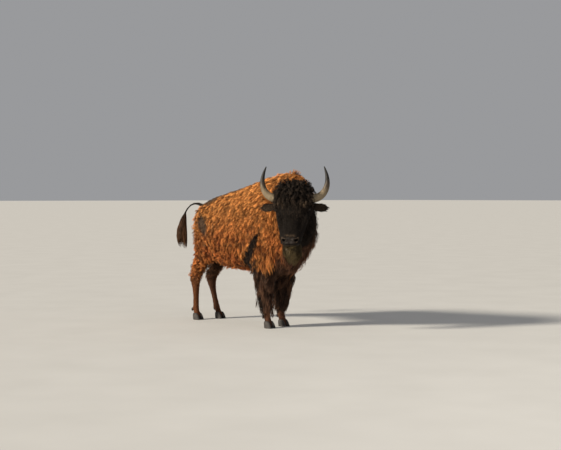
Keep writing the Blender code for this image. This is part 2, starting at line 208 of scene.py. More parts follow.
def new_object(name, data, material=None):
    if material:
        data.materials.append(material)
    obj = bpy.data.objects.new(name, data)
    bpy.context.scene.collection.objects.link(obj)
    return obj


def put_field(mesh, name, values):
    layer = mesh.attributes.new(name, "FLOAT", "POINT")
    layer.data.foreach_set("value", np.asarray(values, np.float32))


def from_bmesh(name, bm):
    mesh = bpy.data.meshes.new(name)
    bm.to_mesh(mesh)
    bm.free()
    return mesh


def unit_ball(name, around, up):
    """A ball's mesh, and its points."""
    bm = bmesh.new()
    bmesh.ops.create_uvsphere(bm, u_segments=around, v_segments=up, radius=1)
    points = np.array([vertex.co for vertex in bm.verts])
    return from_bmesh(name, bm), points


def move_points(mesh, points):
    mesh.vertices.foreach_set("co", points.astype(np.float32).ravel())
    mesh.shade_smooth()


def masks(kind):
    """Where each kind of flesh is."""
    return {name: kind == i for i, name in enumerate(KINDS)}


# Skin


def add_ball(bm, centre, size):
    made = bmesh.ops.create_uvsphere(bm, u_segments=20, v_segments=14, radius=1)
    place = Matrix.Translation(Vector(centre)) @ Matrix.Diagonal((*size, 1))
    bmesh.ops.transform(bm, matrix=place, verts=made["verts"])


def flesh_mesh(head):
    """All nodes of flesh and feet in one mesh, with the sockets of the other pieces filled."""
    bm = bmesh.new()
    for name in FLESH:
        bm.from_mesh(nodes[name].data)
    for side in (1, -1):
        add_ball(bm, head.place(side * EYE[0], EYE[1], EYE[2]), (0.0235,) * 3)
        add_ball(bm, head.place(side * 0.180, EAR_ROOT[1], EAR_ROOT[2]), (0.032, 0.032, 0.046))
        for step in (0, 0.025, 0.05):
            root = head.poll + head.left * side * (HORN_ROOT[0] + step) + UP * (HORN_ROOT[2] - step * 0.3)
            add_ball(bm, root, (0.053,) * 3)
    for name in CLAWS:
        low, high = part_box(name)
        add_ball(bm, (low + high) / 2 + Vector((0, -0.014, 0.004)), (0.017, 0.020, 0.020))
    low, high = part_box("beard")
    add_ball(bm, ((low.x + high.x) / 2, (low.y + high.y) / 2, 0.925), (0.072, 0.072, 0.046))
    return from_bmesh("flesh", bm)


def remeshed(mesh, voxel):
    obj = new_object("flesh", mesh)
    remesh = obj.modifiers.new("join", "REMESH")
    remesh.mode = "VOXEL"
    remesh.voxel_size = voxel
    bpy.context.view_layer.update()
    made = bpy.data.meshes.new_from_object(obj.evaluated_get(bpy.context.evaluated_depsgraph_get()))
    bpy.data.objects.remove(obj)
    return made


def largest_part(surface):
    """Only the largest connected part, without what may lie inside it."""
    part = np.arange(len(surface.points))
    corners = surface.triangles
    while True:
        lowest = part[corners].min(axis=1)
        grown = part.copy()
        for i in range(3):
            np.minimum.at(grown, corners[:, i], lowest)
        grown = grown[grown]
        if (grown == part).all():
            break
        part = grown
    main = np.bincount(part).argmax()
    keep = part == main
    index = np.cumsum(keep) - 1
    return Surface(surface.points[keep], index[corners[keep[corners[:, 0]]]])


def kind_finder():
    """A tree over the CAD nodes' faces, and the kind of each face."""
    points, faces, kinds = [], [], []
    for name in FLESH:
        surface = arrays(nodes[name].data)
        kind = next((i for i, word in enumerate(KINDS) if name.startswith(word)), KINDS.index("foot"))
        faces += (surface.triangles + len(points)).tolist()
        points += surface.points.tolist()
        kinds += [kind] * len(surface.triangles)
    return BVHTree.FromPolygons(points, faces), np.array(kinds)


def kinds_at(points, finder):
    tree, kinds = finder
    return kinds[[tree.find_nearest(point)[2] for point in points.tolist()]]


def head_wear(fields, is_head, head, points):
    """Curly mop above the eyes, short hair down the face, longer on cheek and jaw."""
    _, v, w = head.coords(points)
    mop = smoothstep(0.22, 0.10, w)
    cheek = smoothstep(-0.02, -0.10, v) * (1 - mop)
    muzzle = smoothstep(0.42, 0.52, w) * smoothstep(-0.11, -0.05, v)
    brow = smoothstep(0.36, 0.16, w) * (1 - mop)
    eye = np.min([np.linalg.norm(points - eye_axes(head, side)[0], axis=1) for side in (1, -1)], axis=0)
    brow = brow * smoothstep(0.030, 0.070, eye)
    chin = smoothstep(0.002, 0.014, mouth_line(v, w)) * smoothstep(0.50, 0.56, w)
    face_length = 0.018 + 0.042 * cheek * smoothstep(0.02, 0.07, eye) + 0.026 * brow
    face = {
        "depth": 0.052 * mop + (1 - mop) * (0.008 + 0.020 * cheek) * (1 - 0.6 * muzzle) + 0.010 * chin,
        "length": 0.062 * mop * (1 - 0.60 * smoothstep(0.115, 0.050, eye))
        + (1 - mop) * face_length * (1 - 0.35 * muzzle)
        + 0.030 * chin,
        "width": 0.0044 * mop + (1 - mop) * (0.0016 + 0.0015 * cheek + 0.0014 * brow) + 0.0010 * chin,
        "density": 10500 * mop
        + (1 - mop) * np.maximum(12000, 64000 - 36000 * cheek - 49000 * brow - 20000 * chin),
        "curl": 0.0095 * mop + 0.0055 * brow + 0.003 * chin,
    }
    for name, values in face.items():
        fields[name] = np.where(is_head, values, fields[name])


def leg_wear(fields, kind, points):
    """Long chaps on the forearms, wool to the hocks behind, and short hair below both."""
    x, y, z = points.T
    front, hind = masks(kind)["leg_front"], masks(kind)["leg_hind"]
    low_front = smoothstep(0.26, 0.20, z)
    low_hind = smoothstep(0.62, 0.44, z)
    chap_depth = np.interp(
        z,
        (0.19, 0.235, 0.30, 0.40, 0.52, 0.66, 0.82, 1.0),
        (0.004, 0.026, 0.050, 0.056, 0.054, 0.050, 0.045, 0.032),
    )
    fields["depth"] = np.where(front, chap_depth, fields["depth"])
    fields["depth"] = np.where(hind, 0.020 + (0.005 - 0.020) * low_hind, fields["depth"])
    stifle = hill(z - 0.54, 0.09) * smoothstep(0.60, 0.50, y)
    fields["length"] = fields["length"] + np.where(x > MIDLINE, 0.085, 0.045) * stifle * hind
    for mask, low in ((front, low_front), (hind, low_hind)):
        for name, value in (("length", 0.024), ("width", 0.0019), ("density", 40000), ("curl", 0)):
            worn = fields[name] + (value - fields[name]) * low
            fields[name] = np.where(mask, worn, fields[name])


def wool_edge(points):
    """How far below the shoulder wool's ragged lower edge a point lies."""
    y, z = points[:, 1], points[:, 2]
    edge = 0.70 + 0.93 * np.maximum(0, -0.62 - y)
    return edge + 0.045 * ripple(points, 0.10, 3) + 0.020 * ripple(points, 0.035, 4) - z


def elbow_gap(points, spread=1.0):
    """The crease behind the elbow, 1 along its middle line; its darkness is short dark hair with painted
    shade over it.
    """
    x, y, z = points.T
    heights = (0.56, 0.72, 0.88, 1.03)
    line = np.interp(z, heights, (-0.205, -0.296, -0.422, -0.545))
    width = np.interp(z, heights, (0.084, 0.078, 0.050, 0.016)) * spread
    width = width * np.where(x > MIDLINE, 0.62, 1.0)
    inside = smoothstep(0.52, 0.62, z + 0.02 * ripple(points, 0.06, 25)) * smoothstep(1.07, 1.00, z)
    across = smoothstep(1.20, 0.80, abs(y - line + 0.014 * ripple(points, 0.07, 7)) / width)
    return across * inside * smoothstep(0.10, 0.16, abs(x - MIDLINE))


def matted_wool(points):
    """Where the wool is felted into lumps: rump, thighs and the lower side of the barrel."""
    y, z = points[:, 1], points[:, 2]
    rear = smoothstep(0.10, 0.50, y)
    return smoothstep(-0.35, -0.15, y) * smoothstep(1.02, 0.88, z - 0.40 * rear) * smoothstep(0.42, 0.50, z)


def wool_holes(points):
    """Small holes torn in the matted wool."""
    torn = smoothstep(0.66, 0.84, ripple(points * (1.0, 1.0, 0.75), 0.075, 14))
    return torn * matted_wool(points) * smoothstep(0.08, 0.14, abs(points[:, 0] - MIDLINE))


def shed_strip(points):
    """The shed strip along the spine, wide over the rump, and a shed patch on each hip."""
    x, y, z = points.T
    side = abs(x - MIDLINE)
    half = (0.090 + 0.050 * smoothstep(0.20, 0.80, y)) * smoothstep(-0.52, 0.10, y)
    half = half + 0.016 * ripple(points, 0.07, 5) + 0.014 * ripple(points, 0.16, 17)
    strip = smoothstep(half + 0.02, half - 0.02, side) * smoothstep(-0.45, -0.30, y)
    lower = 1.13 + 0.05 * ripple(points, 0.10, 19) + 0.03 * ripple(points, 0.04, 20)
    strip *= smoothstep(lower - 0.04, lower + 0.04, z + 0.08 * smoothstep(0.74, 0.80, y))
    slant = (y - 0.505) - 0.60 * (z - 1.07)
    round_hip = np.hypot(slant / 0.100, (z - 1.07) / 0.115) + 0.15 * ripple(points, 0.05, 6)
    hip = smoothstep(1.15, 0.80, round_hip) * smoothstep(0.12, 0.18, side)
    hip *= np.where(x > MIDLINE, 0.55, 1.0)
    return np.maximum(strip, hip)


def dark_marks(points, is_kind, head):
    """Head, throat, brisket, elbow creases with painted shade, holes, inner thighs and hind shanks."""
    x, y, z = points.T
    u, v, w = head.coords(points)
    chest = smoothstep(-0.02, 0.025, wool_edge(points)) * smoothstep(-0.17, -0.24, y)
    reach = v + 0.02 * ripple(points, 0.08, 8) - 0.15 * smoothstep(0.02, -0.08, u)
    reach = reach + 0.13 * smoothstep(0.05, 0.15, u)
    throat = smoothstep(-0.32, -0.27, reach) * (w > 0)
    dark = np.maximum(chest, np.where(is_kind["neck"], throat, 0))
    # painted shade in the crease behind the elbow, over its short dark hair
    dark = np.maximum(dark, elbow_gap(points))
    dark = np.maximum(dark, 0.85 * wool_holes(points))
    hock = 0.50 + 0.12 * smoothstep(0.10, 0.02, abs(x - MIDLINE)) + 0.02 * ripple(points, 0.06, 9)
    low_hind = smoothstep(0.02, -0.03, z - hock) * is_kind["leg_hind"]
    return np.maximum(dark, 0.62 * low_hind)


def markings(points, kind, head):
    """Where the coat is dark (its own dark hair, and painted shade in the elbow creases and between the hind
    legs), red, shed or olive, as fields from 0 to 1.
    """
    x, y, z = points.T
    _, v, w = head.coords(points)
    is_kind = masks(kind)
    all_dark = is_kind["head"] | is_kind["mop"] | is_kind["tail"] | is_kind["ear"]
    dark = np.where(all_dark | is_kind["foot"], 1.0, dark_marks(points, is_kind, head))
    # painted shadow on the inner sides of the hind thighs, where the legs shade each other, over their short
    # darker hair
    inner = smoothstep(0.17, 0.10, abs(x - MIDLINE)) * smoothstep(0.84, 0.72, z) * is_kind["leg_hind"]
    dark = np.maximum(dark, 0.92 * inner)
    crest = smoothstep(1.50, 1.60, z + 0.04 * ripple(points, 0.09, 15)) * smoothstep(-0.45, -0.70, y)
    crest = crest * is_kind["hump"]
    dark = np.maximum(dark, 0.60 * crest)
    rear = smoothstep(0.10, 0.50, y)
    belly = smoothstep(1.26 - 0.06 * rear, 0.78, z) * (0.80 + 0.25 * ripple(points, 0.2, 10))
    brown = 0.36 + 0.30 * ripple(points, 0.12, 12) + 0.4 * smoothstep(0.3, 0.15, z)
    red = np.where(is_kind["leg_front"], brown, belly)
    brisket = smoothstep(1.10, 0.95, z) * smoothstep(-0.30, -0.45, y)
    brisket = brisket * (0.28 + 0.38 * ripple(points, 0.10, 18))
    red = np.maximum.reduce([red, brisket * dark, 0.8 * crest])
    # red is taken out in the elbow creases and on the inner hind thighs, so their painted shade is black,
    # not brown
    red = red * (1 - 0.85 * elbow_gap(points)) * (1 - 0.8 * inner)
    red = np.where(is_kind["leg_hind"] & (z < 0.5), 0.62, red)
    red = np.where(all_dark, 0.0, np.clip(red, 0, 1))
    olive = smoothstep(0.0, 0.012, mouth_line(v, w)) * smoothstep(0.50, 0.56, w) * is_kind["head"]
    shed = shed_strip(points) * (is_kind["trunk"] | is_kind["hump"] | is_kind["leg_hind"])
    return {"dark": dark, "red": red, "shed": shed, "olive": olive}


def coat_fields(surface, kind, head, rounds):
    """What the coat does at each point of the skin, with soft borders between its regions."""
    points = surface.points
    table = np.array([WEAR[name] for name in KINDS])[kind]
    fields = dict(zip(("depth", "length", "width", "density", "curl"), table.T.copy()))
    is_kind = masks(kind)
    head_wear(fields, is_kind["head"] | is_kind["mop"], head, points)
    leg_wear(fields, kind, points)
    marks = markings(points, kind, head)
    brisket = marks["dark"] * is_kind["trunk"] + marks["dark"] * is_kind["neck"]
    fields["length"] = fields["length"] + 0.045 * brisket
    matted = matted_wool(points) * (is_kind["trunk"] | is_kind["leg_hind"])
    fields["depth"] = fields["depth"] + 0.012 * matted
    fields["length"] = fields["length"] + 0.010 * matted
    gap = elbow_gap(points)
    holes = wool_holes(points)
    bald = np.maximum.reduce([marks["shed"], gap, holes])
    for name, value in (("depth", 0.010), ("length", 0.018), ("width", 0.0030), ("curl", 0.0)):
        fields[name] = fields[name] + (value - fields[name]) * bald
    deep = np.where(is_kind["leg_front"], 0.15, 1.0)
    fields["depth"] = fields["depth"] + 0.060 * gap * deep + 0.030 * holes
    fields["length"] = np.minimum(fields["length"], 0.13 - 0.095 * elbow_gap(points, 2.0))
    stacked = surface.blurred(np.stack(list(fields.values()), axis=1), rounds)
    fields = {name: stacked[:, i] for i, name in enumerate(fields)}
    fields.update(marks)
    return fields


def lie_of_coat(surface, normals, kind, head):
    """The way the hair lies at each point of the skin, level with the skin."""
    points = surface.points
    _, y, z = points.T
    u, v, w = head.coords(points)
    is_kind = masks(kind)
    ways = np.array(
        (
            (0, 0.50, -0.86), (0, 0.62, -0.78), (0, 0.38, -0.92), (0, 0, -1), (0, 0, -1),
            (0, 0.16, -0.99), (0, 0.22, -0.97), (0, 1, 0), (0, 0, -1), (0, 0, -1),
        )
    )[kind]
    ways[:, 1] -= 0.2 * (smoothstep(0.25, 0.65, y) * is_kind["trunk"])
    ways[:, 1] += 0.25 * (smoothstep(0.80, 0.62, z) * is_kind["trunk"])
    arch = smoothstep(1.02, 1.12, y)[:, None]
    tail = (1 - arch) * np.array((-0.05, 1, -0.2)) + arch * np.array((0, 0.1, -1))
    is_head = (is_kind["head"] | is_kind["mop"])[:, None]
    crown = head.place(0, 0.0, -0.11)
    cheek = smoothstep(-0.02, -0.10, v)[:, None]
    mop = smoothstep(0.22, 0.10, w)[:, None]
    face = head.down + head.left * (0.6 * u)[:, None] - head.out * 0.5 * cheek
    whorl = unit(points - crown) + head.down * 0.35 + head.out * 0.15
    ways = np.where(is_head, face * (1 - mop) + whorl * mop, ways)
    ways = np.where(is_kind["tail"][:, None], tail, ways)
    ear_way = head.left * np.sign(u)[:, None] - UP * 0.25
    ways = np.where(is_kind["ear"][:, None], ear_way, ways)
    ways = unit(ways)
    ways -= normals * (ways * normals).sum(axis=1)[:, None]
    ways = surface.blurred(unit(ways), 12)
    ways -= normals * (ways * normals).sum(axis=1)[:, None]
    return unit(ways)


def refined(surface, near):
    """Splits the edges of the triangles whose middles are near something."""
    mesh = new_mesh("refine", surface.points, surface.triangles)
    bm = bmesh.new()
    bm.from_mesh(mesh)
    bpy.data.meshes.remove(mesh)
    middles = surface.points[surface.triangles].mean(axis=1)
    bm.faces.ensure_lookup_table()
    edges = {edge for index in np.flatnonzero(near(middles)) for edge in bm.faces[index].edges}
    bmesh.ops.subdivide_edges(bm, edges=list(edges), cuts=1, use_grid_fill=True)
    bmesh.ops.triangulate(bm, faces=bm.faces)
    mesh = from_bmesh("refined", bm)
    made = arrays(mesh)
    bpy.data.meshes.remove(mesh)
    return made


def eye_axes(head, side):
    """The eye's middle, its gaze, and the slit's length and height directions."""
    centre = head.place(side * EYE[0], EYE[1], EYE[2])
    gaze = unit(head.left * side * 0.90 + head.out * 0.40 - head.down * 0.05)
    along = head.out * 0.62 + head.down * 0.62
    along = unit(along - gaze * (along @ gaze))
    across = np.cross(gaze, along) * side
    return centre, gaze, along, across


def slit(x, y):
    """Under 1 inside the almond opening of the lids."""
    return np.sqrt((x / SLIT_HALF_LENGTH) ** 2 + (np.abs(y) / SLIT_HALF_HEIGHT) ** 1.7)


def open_eye(points, head, side):
    """Raises the lids over the eyeball and opens them in an almond."""
    centre, gaze, along, across = eye_axes(head, side)
    offset = points - centre
    x, y, h = offset @ along, offset @ across, offset @ gaze
    r = np.hypot(x, y)
    near = (r < 0.055) & (h > -0.015)
    ball = np.sqrt(np.maximum(EYE_RADIUS**2 - r**2, 0))
    lid_radius = EYE_RADIUS + 0.0030
    lid = np.sqrt(np.maximum(lid_radius**2 - r**2, 0))
    sunk = h - 0.006 * hill(r, 0.034)
    blend = smoothstep(lid_radius + 0.006, lid_radius - 0.004, r)
    raised = np.where(r < lid_radius, np.maximum(sunk * (1 - blend) + lid * blend, ball + 0.0015), sunk)
    opening = smoothstep(1.10, 0.86, slit(x, y))
    wanted = raised * (1 - opening) + (ball - 0.005) * opening
    moved = points + gaze * (wanted - h)[:, None]
    return np.where(near[:, None], moved, points)


def nostril(u, w):
    """Under 1 inside a nostril, a comma that runs up and outwards."""
    a = (abs(u) - NOSTRIL_SIDE) * 0.86 - (w - NOSTRIL_DOWN) * 0.50
    b = (abs(u) - NOSTRIL_SIDE) * 0.50 + (w - NOSTRIL_DOWN) * 0.86
    bend = b + 14 * a * a
    return np.hypot(a / 0.021, bend / (0.0115 - 0.15 * np.clip(a, -0.02, 0.02)))


def mouth_line(v, w):
    """How far below the mouth's line a point lies: the line rises towards its corners."""
    return w - (MOUTH_DOWN + 0.42 * np.minimum(v - 0.04, 0))


def sculpt_face(surface, head):
    """Brow, cheek, nose, nostrils and mouth, as moves along the skin's normals."""
    u, v, w = head.coords(surface.points)
    side = abs(u)
    front = smoothstep(-0.02, 0.03, v)
    move = 0.010 * hill(side - 0.148, 0.034) * hill(w - 0.172, 0.022) * smoothstep(-0.04, 0.0, v)
    move -= 0.012 * hill(side - 0.135, 0.026) * hill(w - 0.250, 0.030) * smoothstep(0.02, 0.06, v)
    move -= 0.017 * hill(side - 0.098 + 0.10 * (w - 0.36), 0.026) * hill(w - 0.37, 0.080) * front
    crest = hill(side - 0.142 + 0.16 * (w - 0.30), 0.013)
    move += 0.005 * crest * smoothstep(0.24, 0.29, w) * smoothstep(0.47, 0.40, w)
    move -= 0.012 * smoothstep(-0.02, -0.06, v) * hill(w - 0.40, 0.07) * smoothstep(-0.16, -0.12, v)
    move += 0.005 * hill(u, 0.040) * smoothstep(0.24, 0.32, w) * smoothstep(0.50, 0.44, w) * front
    move += 0.007 * hill(side - NOSTRIL_SIDE, 0.026) * hill(w - 0.545, 0.030) * front
    move -= 0.004 * hill(u, 0.020) * hill(w - 0.575, 0.030) * front
    q = nostril(u, w)
    move -= (0.022 * smoothstep(1.10, 0.55, q) + 0.022 * smoothstep(0.75, 0.0, q)) * front
    move += 0.0035 * hill(q - 1.35, 0.30) * front
    gape = mouth_line(v, w)
    lips = smoothstep(-0.075, -0.045, v) * (w > 0.5)
    move -= 0.0085 * hill(gape, 0.0045) * lips
    move += 0.0030 * hill(gape + 0.011, 0.008) * lips
    move -= 0.009 * smoothstep(0.0, 0.035, gape) * smoothstep(0.02, 0.09, side) * lips
    move -= 0.020 * smoothstep(0.068, 0.115, side) * smoothstep(0.530, 0.600, w) * front
    move += 0.005 * hill(side - 0.030, 0.045) * hill(w - 0.585, 0.012) * front
    return surface.points + surface.normals() * move[:, None]


def sculpt_legs(surface, kind):
    """A groove between bone and tendon along each side of the cannons, and fuller fetlocks."""
    x, y, z = surface.points.T
    heights = np.linspace(0.09, 0.45, 19)
    move = np.zeros(len(z))
    for name in ("leg_front", "leg_hind"):
        for left in (True, False):
            leg = masks(kind)[name] & ((x > MIDLINE) == left) & (z < 0.48)
            level = np.digitize(z[leg], heights)
            middle = [y[leg][level == i].mean() if (level == i).any() else 0 for i in range(1, 19)]
            behind = y - np.interp(z, (heights[1:] + heights[:-1]) / 2, middle)
            cannon = smoothstep(0.13, 0.17, z) * smoothstep(0.42, 0.36, z)
            shape = -0.0065 * hill(behind - 0.010, 0.009) * cannon
            shape += 0.006 * hill(z - 0.125, 0.024) * smoothstep(0.0, 0.02, behind)
            move += np.where(leg, shape, 0)
    return surface.points + surface.normals() * move[:, None]


def ear_shell(head, side):
    """A leaf cupped forwards, held level from the head, with its root buried."""
    outline = ((0.0, 0.44), (0.18, 0.66), (0.40, 0.96), (0.62, 1.0), (0.80, 0.88), (0.92, 0.60), (1.0, 0.10))
    along, widths = zip(*outline)
    root = head.place(side * EAR_ROOT[0], EAR_ROOT[1], EAR_ROOT[2])
    steps, around = 26, 28
    angle = np.linspace(0, 2 * math.pi, around, endpoint=False)
    rings = []
    for t in np.linspace(-0.12, 0.99, steps):
        width = np.interp(t, along, widths)
        centre = root + head.left * (side * EAR_LENGTH * t) - UP * (0.012 * t) - head.ahead * (0.02 * t * t)
        half = EAR_HALF_WIDTH * width
        cup = EAR_CUP * width * smoothstep(-0.1, 0.35, t)
        thick = np.where(np.sin(angle) > 0, 0.0022, 0.0035) * (0.6 + 0.4 * width) + 0.006 * (t < 0.05)
        depth = thick * np.sin(angle) - cup * (1 - np.cos(angle) ** 2) + cup * 0.7
        rings.append(centre + UP * (half * np.cos(angle))[:, None] + head.ahead * depth[:, None])
    points = np.concatenate(rings)
    triangles = tube_triangles(steps, around) if side > 0 else tube_triangles(steps, around)[:, ::-1]
    return Surface(points, triangles)


def tube_triangles(rings, around):
    """Triangles of a tube of rings, with both ends closed."""
    made = []
    for i in range(rings - 1):
        for j in range(around):
            a, b = i * around + j, i * around + (j + 1) % around
            made += [(a, b, b + around), (a, b + around, a + around)]
    last = (rings - 1) * around
    made += [(0, j + 1, j) for j in range(1, around - 1)]
    made += [(last, last + j, last + j + 1) for j in range(1, around - 1)]
    return np.array(made)


def build_skin(head):
    """The skin's surface and the kind of flesh under each of its points."""
    finder = kind_finder()
    mesh = remeshed(flesh_mesh(head), SKIN_VOXEL)
    surface = largest_part(arrays(mesh))
    bpy.data.meshes.remove(mesh)
    surface.points = surface.blurred(surface.points, 4)
    kind = kinds_at(surface.points, finder)
    depth = coat_fields(surface, kind, head, 10)["depth"]
    surface.points = surface.points - surface.normals() * depth[:, None]
    surface.points = surface.blurred(surface.points, 3)

    def on_face(points):
        u, v, w = head.coords(points)
        return (w > 0.12) & (w < 0.70) & (v > -0.17) & (abs(u) < 0.24)

    def on_muzzle(points):
        u, v, w = head.coords(points)
        near_eye = np.hypot(v - EYE[1], w - EYE[2]) < 0.060
        return ((w > 0.47) & (w < 0.68) & (v > -0.09)) | (near_eye & (abs(u) > 0.12) & (abs(u) < 0.24))

    def at_detail(points):
        u, v, w = head.coords(points)
        near_eye = (np.hypot(v - EYE[1], w - EYE[2]) < 0.038) & (abs(u) > 0.12) & (abs(u) < 0.24)
        mouth = (abs(mouth_line(v, w)) < 0.020) & (v > -0.08) & (w > 0.5) & (w < 0.66)
        return near_eye | ((nostril(u, w) < 1.8) & (v > -0.02)) | mouth

    def on_shank(points):
        return (points[:, 2] > 0.08) & (points[:, 2] < 0.46)

    surface = refined(surface, on_shank)
    surface.points = sculpt_legs(surface, kinds_at(surface.points, finder))
    for near in (on_face, on_muzzle, at_detail):
        surface = refined(surface, near)
        u, v, w = head.coords(surface.points)
        soft = ((w > 0.1) & (w < 0.72) & (v > -0.2))[:, None]
        surface.points = np.where(soft, surface.blurred(surface.points, 2), surface.points)
    surface.points = sculpt_face(surface, head)
    for side in (1, -1):
        surface.points = open_eye(surface.points, head, side)
    kind = kinds_at(surface.points, finder)
    for side in (1, -1):
        ear = ear_shell(head, side)
        surface = Surface(
            np.concatenate([surface.points, ear.points]),
            np.concatenate([surface.triangles, ear.triangles + len(surface.points)]),
        )
        kind = np.concatenate([kind, np.full(len(ear.points), KINDS.index("ear"))])
    return surface, kind


def bare_skin(points, kind, head):
    """Where the skin is bare, where the hair is tan, and where the nostrils' insides are painted with shade.
    """
    u, v, w = head.coords(points)
    front = smoothstep(-0.01, 0.03, v)
    pad = smoothstep(1.15, 0.95, np.hypot(u / 0.062, (w - 0.562) / 0.032)) * front
    gape = mouth_line(v, w)
    lips = hill(gape, 0.007) * smoothstep(-0.075, -0.05, v) * (w > 0.5)
    holes = smoothstep(1.35, 1.05, nostril(u, w)) * front
    bare = np.maximum.reduce([pad, lips, holes])
    for side in (1, -1):
        centre, gaze, along, across = eye_axes(head, side)
        offset = points - centre
        near = slit(offset @ along, offset @ across)
        here = (offset @ gaze > -0.01) & (np.linalg.norm(offset, axis=1) < 0.05)
        bare = np.maximum(bare, smoothstep(1.45, 1.20, near) * here)
    rim = hill(nostril(u, w) - 1.50, 0.30) * front * (1 - 0.6 * pad)
    above = hill(w - 0.508, 0.012) * smoothstep(0.070, 0.030, abs(u)) * front
    brow = hill(abs(u) - 0.115, 0.034) * hill(w - 0.150, 0.030) * smoothstep(-0.06, 0.0, v)
    worn = np.clip(0.60 + 0.55 * ripple(np.column_stack([u, v, w]), 0.03, 31), 0, 1)
    tan = np.maximum.reduce([rim, 0.65 * above, 0.60 * brow]) * (1 - lips) * worn
    is_kind = masks(kind)
    is_head = is_kind["head"]
    ear = 0.16 * is_kind["ear"] * smoothstep(0.17, 0.24, abs(u))
    tan = np.where(is_head | is_kind["mop"], tan, ear)
    # the last field is the nostrils' insides, painted near black as shade
    return bare * is_head, tan, smoothstep(0.95, 0.60, nostril(u, w)) * front * is_head


def unwrap(obj):
    bpy.context.view_layer.objects.active = obj
    obj.select_set(True)
    obj.data.uv_layers.new(name="OFBake")
    bpy.ops.object.mode_set(mode="EDIT")
    bpy.ops.mesh.select_all(action="SELECT")
    bpy.ops.uv.smart_project(angle_limit=math.radians(66), island_margin=0.002)
    bpy.ops.object.mode_set(mode="OBJECT")
    obj.select_set(False)
    uv = np.empty(len(obj.data.loops) * 2)
    obj.data.uv_layers["OFBake"].data.foreach_get("uv", uv)
    return uv.reshape(-1, 3, 2)


# Coat


class Roots:
    """Where tufts grow: point, normal, way of lying, place on the unwrap, kind and fields."""

    def __init__(self, point, normal, way, uv, kind, field):
        self.point = point
        self.normal = normal
        self.way = way
        self.uv = uv
        self.kind = kind
        self.field = field

    def where(self, mask):
        field = {name: values[mask] for name, values in self.field.items()}
        return Roots(
            self.point[mask], self.normal[mask], self.way[mask], self.uv[mask], self.kind[mask], field
        )


class Skin:
    """The skin's surface with its unwrap, and all that the coat reads from it."""

    def __init__(self, surface, kind, uv, fields, head):
        self.surface = surface
        self.kind = kind
        self.uv = uv
        self.fields = fields
        self.normals = surface.normals()
        self.lie = lie_of_coat(surface, self.normals, kind, head)

    def roots_at(self, face, weight):
        corners = self.surface.triangles[face]

        def read(values):
            spread = weight if values.ndim == 1 else weight[:, :, None]
            return (values[corners] * spread).sum(axis=1)

        uv = (self.uv[face] * weight[:, :, None]).sum(axis=1)
        field = {name: read(values) for name, values in self.fields.items()}
        way = unit(read(self.lie))
        return Roots(
            read(self.surface.points), unit(read(self.normals)), way, uv, self.kind[corners[:, 0]], field
        )

    def scattered(self, rng):
        """Roots at random all over, as close together as the coat's density says."""
        corners = self.surface.triangles
        a, b, c = (self.surface.points[corners[:, i]] for i in range(3))
        area = np.linalg.norm(np.cross(b - a, c - a), axis=1) / 2
        wanted = area * self.fields["density"][corners].mean(axis=1)
        count = np.floor(wanted + rng.random(len(area))).astype(int)
        face = np.repeat(np.arange(len(area)), count)
        pair = rng.random((len(face), 2))
        pair = np.where(pair.sum(axis=1, keepdims=True) > 1, 1 - pair, pair)
        roots = self.roots_at(face, np.column_stack([1 - pair.sum(axis=1), pair]))
        roots.field["chance"] = rng.random(len(face))
        return roots

    def nearest(self, points):
        """Roots at the skin's faces nearest to the points."""
        tree = BVHTree.FromPolygons(self.surface.points.tolist(), self.surface.triangles.tolist())
        face = np.array([tree.find_nearest(point)[2] for point in points.tolist()])
        return self.roots_at(face, np.full((len(face), 3), 1 / 3))


def clumps(points, share, rng):
    """The nearest of a random share of the points, for each point."""
    centres = np.sort(rng.permutation(len(points))[: max(1, int(len(points) * share))])
    tree = KDTree(len(centres))
    for i, index in enumerate(centres):
        tree.insert(points[index], i)
    tree.balance()
    nearest = np.array([tree.find(point)[1] for point in points.tolist()])
    return centres[nearest]


def turned(way, normal, angle):
    """Ways turned about the normals."""
    side = np.cross(normal, way)
    return way * np.cos(angle)[:, None] + side * np.sin(angle)[:, None]


def ridges(points, scale=0.055, seed=23):
    """A field whose ridges run back and down the body, as the wool lies."""
    lie = np.array((0.0, 0.60, -0.80))
    return ripple(points - 0.72 * (points @ lie)[:, None] * lie, scale, seed)


def tuft_paths(roots, steps, rng, share, swirl, pull, coils, stand, lumps):
    """The middle line of each tuft, from root to tip. Tufts lean to their lock's own line."""
    count = len(roots.point)
    home = clumps(roots.point, share, rng)
    lock = rng.normal(size=(count, 4))[home]
    own = rng.normal(size=(count, 3))
    angle = swirl * 0.5 * ripple(roots.point[home], 0.11, 21) + swirl * 0.5 * lock[:, 0]
    way = turned(roots.way, roots.normal, angle + 0.20 * own[:, 0])
    lead = turned(roots.way[home], roots.normal[home], angle)
    length = roots.field["length"] * np.clip(1 + 0.16 * lock[:, 1] + 0.14 * own[:, 1], 0.45, 1.6)
    lump = 1 + lumps * ridges(roots.point[home])
    upright = np.clip(0.70 + 0.22 * lock[:, 2] + 0.10 * own[:, 2], 0.12, 1.15)
    rise = stand * roots.field["depth"] * lump * upright
    rise = np.maximum(rise, 0.06 * length)
    t = steps[None, :, None]
    lift = 1 - (1 - t) ** 2.2 - 0.25 * t**4

    def line(start, toward, up):
        return start[:, None] + toward[:, None] * length[:, None, None] * t + up[:, None] * (
            rise[:, None, None] * lift
        )

    path = line(roots.point, way, roots.normal)
    guide = line(roots.point[home], lead, roots.normal[home])
    lean = pull * t**1.3
    path = path * (1 - lean) + guide * lean
    phase = (rng.uniform(0, 6.28, count)[home] + 0.5 * own[:, 0])[:, None, None]
    turns = (coils + 0.7 * rng.random(count)[home])[:, None, None] * 2 * math.pi
    side = np.cross(roots.normal, way)[:, None]
    reach = roots.field["curl"][:, None, None] * np.sqrt(t) * (1 - 0.25 * t)
    twist = turns * t + phase
    path = path + reach * (side * np.cos(twist) + roots.normal[:, None] * np.sin(twist))
    path[:, 0] = roots.point - roots.normal * 0.002
    return path, home


